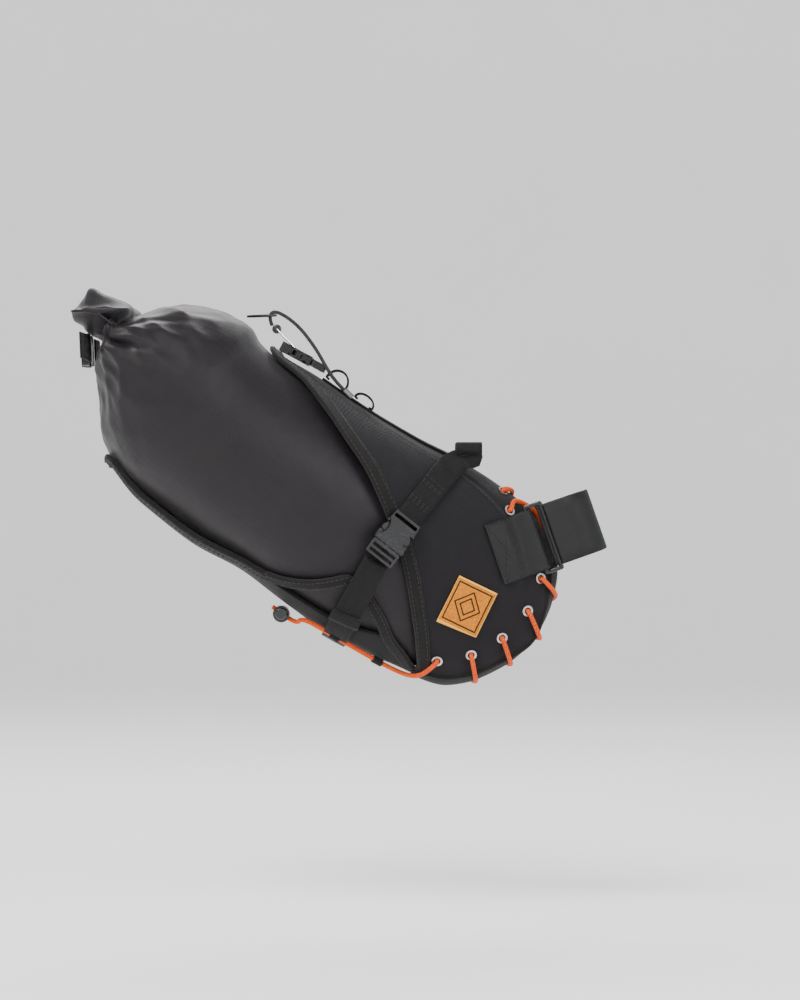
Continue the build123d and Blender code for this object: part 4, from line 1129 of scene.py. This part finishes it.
def post_strip(name, path2d, width=2 * HALF_STRAP, thick=STRAP_THICK, step=1.5):
    """A band square to the seatpost along a path given as (forward, y)."""
    path = smooth([post_point(p, y) for p, y in path2d], step)
    return flat_strip(name, path, POST_UP, tapes(width, thick, -thick / 2, 0.5))


def polar(radius, angle, centre=(0.0, 0.0)):
    """(forward, y) at an angle in degrees round a centre, 0 in front."""
    turn = math.radians(angle)
    return centre[0] + radius * math.cos(turn), centre[1] + radius * math.sin(turn)


def pad_point(p, a, hand, lift):
    """A point of a sewn pad, p forward of the post's axis and a up along it."""
    free_place = post_point(p, hand * (21.0 + 0.1 * (p - PAD_LEAVES) + lift)) + POST_UP * a
    if p > PAD_LEAVES:
        return free_place
    point, _ = on_skin(*side_place(*free_place[[0, 2]], hand), lift)
    free = ramp(p, -52, PAD_LEAVES)
    return point * (1 - free) + free_place * free


def softened(a):
    """How much a band is thinner at a, next to its edges."""
    return 0.7 * (abs(a) > HALF_STRAP - 0.6)


def pad_rows(hand):
    """Rows of a sewn pad's section from its rear edge to where it leaves for the post."""
    rows = []
    for p in np.linspace(-66.0, PAD_LEAVES - 0.5, 24):
        top = [pad_point(p, a, hand, 2.2 - softened(a)) for a in PAD_SHARE]
        rows.append(top + [pad_point(p, a, hand, 0.2) for a in PAD_SHARE[::-1]])
    return rows


def band_rows(path2d, hand, thick=STRAP_THICK):
    """The same rows along a path (forward, y) free of the bag, their outer half first as on a pad."""
    path = smooth([post_point(p, y) for p, y in path2d], 1.5)
    rows = []
    for i, point in enumerate(path):
        out = unit(np.cross(POST_UP, unit(heading(path, i))))
        top = [point + POST_UP * a + out * (thick / 2 - softened(a)) for a in PAD_SHARE]
        rows.append(top + [point + POST_UP * a - out * thick / 2 for a in PAD_SHARE[::-1]])
    first, second = (np.mean([p[1] for p in half]) for half in (rows[0][:PAD_POINTS], rows[0][PAD_POINTS:]))
    if hand * first > hand * second:
        return rows
    return [row[PAD_POINTS:][::-1] + row[:PAD_POINTS][::-1] for row in rows]


TURN = 3.0
to_ring = [(-37.0, -22.2), (-34.5, -22.2)]
to_ring += [polar(TURN, a, (RING_REAR, RING_Y)) for a in (262, 290, 325, 0, 40, 80, 120, 160, 190)]
ring_rows = band_rows(to_ring, -1, 2.0)
anchor = grid("seatpost_strap_anchor_web", pad_rows(-1) + ring_rows, wrap=True, caps=True)
piece(anchor, HYPALON, "holster", "coated_fabric", "seatpost_strap_anchor")

wrap = [(-36.8, 22.2), (-30.0, 21.2), (-18.0, 18.2)]
wrap += [polar(14.75, a) for a in range(100, -101, -20)]
wrap += [(-10.0, -15.2), (-18.9, -15.45)]
wrap += [polar(TURN, a, (RING_FRONT, RING_Y)) for a in (100, 140, 180, 225)]
strap = grid("seatpost_strap_web", pad_rows(1) + band_rows(wrap, 1), wrap=True, caps=True)
piece(strap, HYPALON, "holster", "coated_fabric", "seatpost_strap")

TAIL_RADIUS = 18.0
tail_points = [polar(TURN, -60, (RING_FRONT, RING_Y)), (-14.0, -20.4), (-8.0, -19.2)]
tail_points += [polar(TAIL_RADIUS, a) for a in range(-96, 19, 19)]
post_tail = post_strip("seatpost_tail_web", tail_points)
piece(post_tail, HYPALON, "post_strap_tail", "coated_fabric", "seatpost_strap_tail")
hook = post_strip("hook_tape_cloth", [polar(16.55, a) for a in range(-84, 11, 12)], width=44.0, thick=0.6)
piece(hook, HOOK, "post_strap_tail", "hook_fabric", "hook_tape")


def pad_line(start, end, hand):
    """(point, normal) pairs of a straight seam on a pad, between two (forward, up) places."""
    run = []
    for k in range(31):
        p, a = (u + (w - u) * k / 30 for u, w in zip(start, end))
        point, outer_point = pad_point(p, a, hand, 2.25), pad_point(p, a, hand, 3.25)
        run.append((point, unit(outer_point - point)))
    return run


# The sewn box with a cross on each pad
BOX_REAR, BOX_FRONT, BOX_HALF = -63.8, -48.5, 21.8
box_corners = [(BOX_REAR, -BOX_HALF), (BOX_REAR, BOX_HALF), (BOX_FRONT, BOX_HALF), (BOX_FRONT, -BOX_HALF)]
pad_seams = []
for hand in (-1, 1):
    for i, j in ((0, 1), (1, 2), (2, 3), (3, 0), (0, 2), (1, 3)):
        pad_seams.append(pad_line(box_corners[i], box_corners[j], hand))
piece(stitches("seatpost_pad_stitching", pad_seams), DARK_THREAD, "holster", "coated_fabric")

# ---- Patch ------------------------------------------------------------------------------------------------
PATCH_START, PATCH_END, PATCH_HALF = (-91.0, -78.0), (-74.2, -43.8), 17.0


def patch_material():
    """Tan woven patch with a dark border line and a plain diamond, read from the object's own axes."""
    paint = Paint("label_patch_weave")
    axis = np.array([PATCH_END[0] - PATCH_START[0], 0.0, PATCH_END[1] - PATCH_START[1]])
    long_way = unit(axis)
    short_way = unit(np.cross(long_way, SIDEWAYS))
    middle = np.array([(PATCH_START[0] + PATCH_END[0]) / 2, 0.0, (PATCH_START[1] + PATCH_END[1]) / 2]) * MM
    sides = []
    for direction, half in ((long_way, np.linalg.norm(axis) / 2), (short_way, PATCH_HALF)):
        value = paint.math("SUBTRACT", paint.reach(direction), float(middle @ direction))
        sides.append(paint.math("ABSOLUTE", paint.math("DIVIDE", value, float(half) * MM)))
    square, diamond = paint.math("MAXIMUM", *sides), paint.total(*sides)
    lines = []
    for shape, place, wide in ((square, 0.80, 0.032), (diamond, 0.62, 0.045), (diamond, 0.36, 0.045)):
        away = paint.math("ABSOLUTE", paint.math("SUBTRACT", shape, place))
        lines.append(paint.math("LESS_THAN", away, wide))
    ink = paint.math("MAXIMUM", lines[0], paint.math("MAXIMUM", *lines[1:]))
    x, _, z = paint.split("Object")
    weave, fine = paint.wave(paint.total(x, z), 0.0007), paint.noise(600.0, 3.0)
    tan = paint.colours(paint.total((weave, 0.12), (fine, 0.9)), (0.2, "#9c5404"), (0.8, "#dc8a18"))
    edge = paint.math("GREATER_THAN", square, 0.93)
    inked = paint.overlay(ink, paint.overlay(edge, tan, "#e6a544"), "#1f1004")
    height = paint.total((weave, 0.4), (edge, 1.5), fine)
    return paint.finish(inked, 0.8, height, 0.4, 0.0003, Sheen_Weight=0.04, Specular_IOR_Level=0.25)


patch_profile = tapes(2 * PATCH_HALF, 1.0, 0.25, 0.5)
patch = skin_strip("label_patch_cloth", side_line(PATCH_START, PATCH_END, 26), patch_profile)
piece(patch, patch_material(), "holster", "patch", "label_patch")

# ---- Top webbing and its loops ----------------------------------------------------------------------------
spine_path = [(s, ridge(s), 0.0) for s in np.linspace(96, 222, 50)]
spine = skin_strip("top_webbing_web", spine_path, tapes(WEB, 1.4, 0.2, 0.4), wave=0.1)
piece(spine, WEBBING, "holster", "webbing", "top_webbing")
LOOP_WEB = tapes(WEB - 0.4, WEB_THICK, -WEB_THICK / 2, 0.4)
loops = []
for loop_s, half_length, height in ((212, 9.5, 11.5), (186, 9.0, 7.0)):
    foot = ridge(loop_s) + 1.9
    path = [at(loop_s - half_length + 3.5, foot + 0.7)]
    for angle in (math.pi * k / 36 for k in range(37)):
        s = loop_s - (half_length - 0.8) * math.cos(angle)
        path.append(at(s, foot + (height - 0.8) * math.sin(angle) ** 0.85 + 0.8))
    path.append(at(loop_s + half_length - 3.5, foot + 0.7))
    loops.append(flat_strip("loop", smooth(path, 1.2), SIDEWAYS, LOOP_WEB))
top_loops = join("top_loops_web", loops)
piece(top_loops, WEBBING, "holster", "webbing", "top_loops")
tuple(at(199, ridge(199) + 1.9) * MM)
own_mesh(top_loops)

# ---- Closing strap behind the roll ------------------------------------------------------------------------
closure_out = unit(REARWARD * 0.76 - ACROSS * 0.65)
closure_across = unit(REARWARD * 0.65 + ACROSS * 0.76)
closure_middle = at(376.5, -121.5)
for hand, start, side in ((-1, 6.0, "right"), (1, 33.5, "left")):
    path = []
    for k in range(25):
        middle = closure_middle + SIDEWAYS * hand * (start + (78.0 - start) * k / 24)
        path.append(middle + closure_out * (0.5 * math.sin(k / 3.1)))
    band = flat_strip(f"roll_strap_{side}_web", path, closure_across, FREE_WEB)
    piece(band, WEBBING, "drybag", "webbing", f"roll_strap_{side}")
    if side == "right":
        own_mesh(band)

# ---- Lace and cords ---------------------------------------------------------------------------------------
# How far the lace's middle stands off the skin outside and inside an eyelet, over the piping, over the skin
# and under the bag, and how far outside the piping it turns
EYELET_OUT, EYELET_IN, PIPE_OVER, OVER, UNDER, PIPE_SIDE = 3.0, 5.0, 4.9, 2.9, 3.5, 2.8


def over_edge(eyelet, crossing, y, lift):
    """The place over the holster's edge on the way from an eyelet to a crossing."""
    def place(t):
        return [a + (b - a) * t for a, b in zip(eyelet, crossing)]

    t = last_true(lambda share: fullness(*place(share), y) < 1, 0.0, 2.0)
    return on_skin(*place(t), y, lift)[0]


def lace_route():
    """Control points of the lace from its start at the top front, down the nose and back to the cord lock."""
    points = []
    aside = SIDEWAYS * PIPE_SIDE
    for i in reversed(range(len(EYELETS))):
        s, v = EYELETS[i]
        for hand in (1, -1):
            point, normal = on_skin(s, v, hand * skin_y(s, v))
            ends = [point + normal * EYELET_OUT, point + normal * 0.2, point - normal * EYELET_IN]
            points += ends if hand == 1 else ends[::-1]
        if i in TOP_STITCHES:
            points += [on_skin(*place, OVER)[0] for place in TOP_STITCHES[i]]
        elif i:
            points.append(over_edge(EYELETS[i], CROSSINGS[i], -PIPE_Y, PIPE_OVER) - aside)
            points.append(over_edge(EYELETS[i], CROSSINGS[i], 0.0, OVER))
            points.append(over_edge(EYELETS[i - 1], CROSSINGS[i], PIPE_Y, PIPE_OVER) + aside)
    points.append(over_edge(EYELETS[0], CROSSINGS[0], -PIPE_Y, PIPE_OVER) - aside)
    points += [on_skin(s, -178, y, UNDER)[0] for s, y in UNDER_RUN]
    lock = on_skin(136, -184, -6, 8.5)[0]
    return points + [lock - REARWARD * 14, lock + REARWARD * 9]


LACE_RADIUS, ELASTIC_RADIUS, LOOP_RADIUS = 1.8, 1.4, 0.95
lace = nurbs("lace_cord_braid", lace_route(), LACE_RADIUS)
piece(lace, LACE, "holster", "lace", "lace_cord")

CORD_POINTS = [(203, -26.4, -14.7), (214, -25, -14.7), (226, -20.5, -14.7), (239, -15, -9.5), (256, -10, -2),
               (270, -8.5, 0), (283.5, -10.5, 0), (285, -17, 0), (278, -21.2, 0)]
elastic = as_mesh(nurbs("shock_cord_braid", [at(*p) for p in CORD_POINTS], ELASTIC_RADIUS))
paint_with(elastic, ELASTIC)
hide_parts("shock_cord")
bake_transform(elastic)

spring_low, spring_high = (np.array(corner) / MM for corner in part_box("cord_lock_spring"))
spring_middle = (spring_low + spring_high) / 2
SPRING_WIRE = 0.45
SPRING_TURNS = 3
spring_size = spring_high - spring_low - 2 * SPRING_WIRE
coil = []
for turn in (k / 24 for k in range(SPRING_TURNS * 24 + 1)):
    angle = 2 * math.pi * turn
    place = np.array([math.cos(angle) / 2, turn / SPRING_TURNS - 0.5, math.sin(angle) / 2])
    coil.append(spring_middle + spring_size[[0, 1, 0]] * place)
spring = tube("cord_lock_spring_wire", coil, SPRING_WIRE, 8)
piece(spring, STEEL, "holster", "spring_steel", "cord_lock_spring")
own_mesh(spring)

loop_along = unit(ACROSS * 0.645 - REARWARD * 0.765)
loop_middle = at(288.9, -20.1)
loop_points = []
for k in range(48):
    angle = 2 * math.pi * k / 48
    reach, half = 10.8 * math.cos(angle), 2.9 * math.sin(angle)
    loop_points.append(loop_middle + loop_along * reach + SIDEWAYS * half)
finger_loop = tube("cord_loop_braid", loop_points, LOOP_RADIUS, 10, closed=True)
piece(finger_loop, ELASTIC, "cord_hook", "black_cord", "cord_loop")

# ---- Seams ------------------------------------------------------------------------------------------------
seam_runs += [mirrored_run(run) for run in seam_runs]
piece(stitches("rim_stitching", seam_runs), THREAD, "holster", "binding")
piece(curl(stitches("tongue_stitching", tongue_seams)), THREAD, "holster", "binding")
top_seam = []
for hand in (-1, 1):
    run = []
    for k in range(60):
        s = 34 + 230 * k / 59
        centre, height, width = section(s)
        y = TOP_SEAM + 2.6
        if y >= width * 0.97:
            continue
        v = centre + height * math.sqrt(1 - (y / width) ** 2)
        if s < rim_s(v) - 12:
            point, normal = on_skin(s, v, hand * y)
            run.append((point + normal * 0.45, normal))
    top_seam.append(run)
piece(stitches("top_seam_stitching", top_seam), THREAD, "holster", "cordura")
bar_tacks = []
for share in (0.30, 0.34, 0.38, 0.62, 0.66, 0.70):
    index = int(share * 30)
    run = []
    for across in np.linspace(-8.5, 8.5, 10):
        run += skin_run(rail_path[index - 1:index + 2], across, 3.15)[1:2]
    bar_tacks.append(run)
tacks = stitches("rail_strap_tacks", bar_tacks + [mirrored_run(run) for run in bar_tacks])
piece(tacks, THREAD, "holster", "webbing")

# ---- Carried-over CAD pieces ------------------------------------------------------------------------------
finishes = {"eyelets_left": EYELET, "eyelets_right": EYELET, "lace_tabs": WEBBING, "cord_lock_barrel": LOCK,
            "cord_lock_button": LOCK, "hook_bail": STEEL, "cord_bead": LOCK,
            "cord_ferrule": FERRULE, "seatpost_ring": BUCKLE, "roll_stiffener": BUCKLE}
EDGE_BEVEL = 0.45
clips = [name for name in frame["nodes"] if "buckle" in name or "clip" in name]
finishes.update({name: BUCKLE for name in clips})
for name, material in finishes.items():
    node = frame["nodes"][name]
    paint_with(node, material)
    if name in clips or name == "seatpost_ring":
        edges = node.modifiers.new("soft_edges", "BEVEL")
        edges.width = EDGE_BEVEL * MM
        edges.segments = 3
        edges.limit_method = "ANGLE"
        edges.angle_limit = math.radians(40)

# ---- Floor, light and camera ------------------------------------------------------------------------------
def stage_material(name, level):
    """A pale grey, a little uneven, that also shines faintly so that it stays pale far away."""
    paint = Paint(name)
    dark, light = ((level * share,) * 3 + (1.0,) for share in (0.97, 1.0))
    shade = paint.colours(paint.noise(3.0, 3.0), (0.3, dark), (0.7, light))
    return paint.finish(shade, 0.9, Emission_Color=(1.0, 1.0, 1.0, 1.0), Emission_Strength=0.3)


# A round bowl, wide enough to stand behind the bag from every side: (radius, rise) in millimetres
FLOOR_Z = -300.0
BEND, WALL = 2400.0, 6000.0
bowl = [(0.5, 0.0), (1500.0, 0.0), (3000.0, 0.0)]
for a in np.linspace(0, math.pi / 2, 25):
    bowl.append((WALL - BEND + BEND * math.sin(a), BEND - BEND * math.cos(a)))
bowl += [(WALL, 4000.0), (WALL, 6500.0)]
turns = [2 * math.pi * k / 96 for k in range(97)]
floor_rows = [[(r * math.cos(a), r * math.sin(a), FLOOR_Z + rise) for a in turns] for r, rise in bowl]
floor = grid("studio_floor", floor_rows)
paint_with(floor, stage_material("studio_floor", 0.86))


def area_light(name, place, size, power, colour=(1, 1, 1)):
    """A rectangular light in metres and watts, turned to the bag."""
    data = bpy.data.lights.new(name, "AREA")
    data.shape = "RECTANGLE"
    data.size, data.size_y = size
    data.energy = power
    data.color = colour
    light = placed(name, data)
    light.location = place
    light.rotation_euler = (Vector(BAG_MIDDLE) - Vector(place)).to_track_quat("-Z", "Y").to_euler()


BAG_MIDDLE = (-0.15, 0.0, 0.02)
area_light("key_light", (-0.9, -1.3, 1.6), (1.0, 1.0), 60, (1.0, 0.98, 0.95))
area_light("fill_light", (1.4, -1.6, 0.7), (1.2, 1.2), 26, (0.95, 0.97, 1.0))
area_light("rim_light", (-0.3, 1.4, 1.5), (1.5, 0.8), 30)
world = bpy.data.worlds.new("studio_world")
world.use_nodes = True
background = world.node_tree.nodes["Background"].inputs
background["Color"].default_value = (0.85, 0.88, 0.92, 1.0)
background["Strength"].default_value = 0.5
bpy.context.scene.world = world

camera_data = bpy.data.cameras.new("camera")
camera_data.sensor_fit = "VERTICAL"
camera_data.sensor_height = 36.0
camera_data.lens = 116.9
camera_data.clip_end = 50.0
camera = placed("camera", camera_data)
camera.location = (-0.1337, -2.5, 0.0203)
camera.rotation_euler = (math.radians(90), 0.0, 0.0)
bpy.context.scene.camera = camera
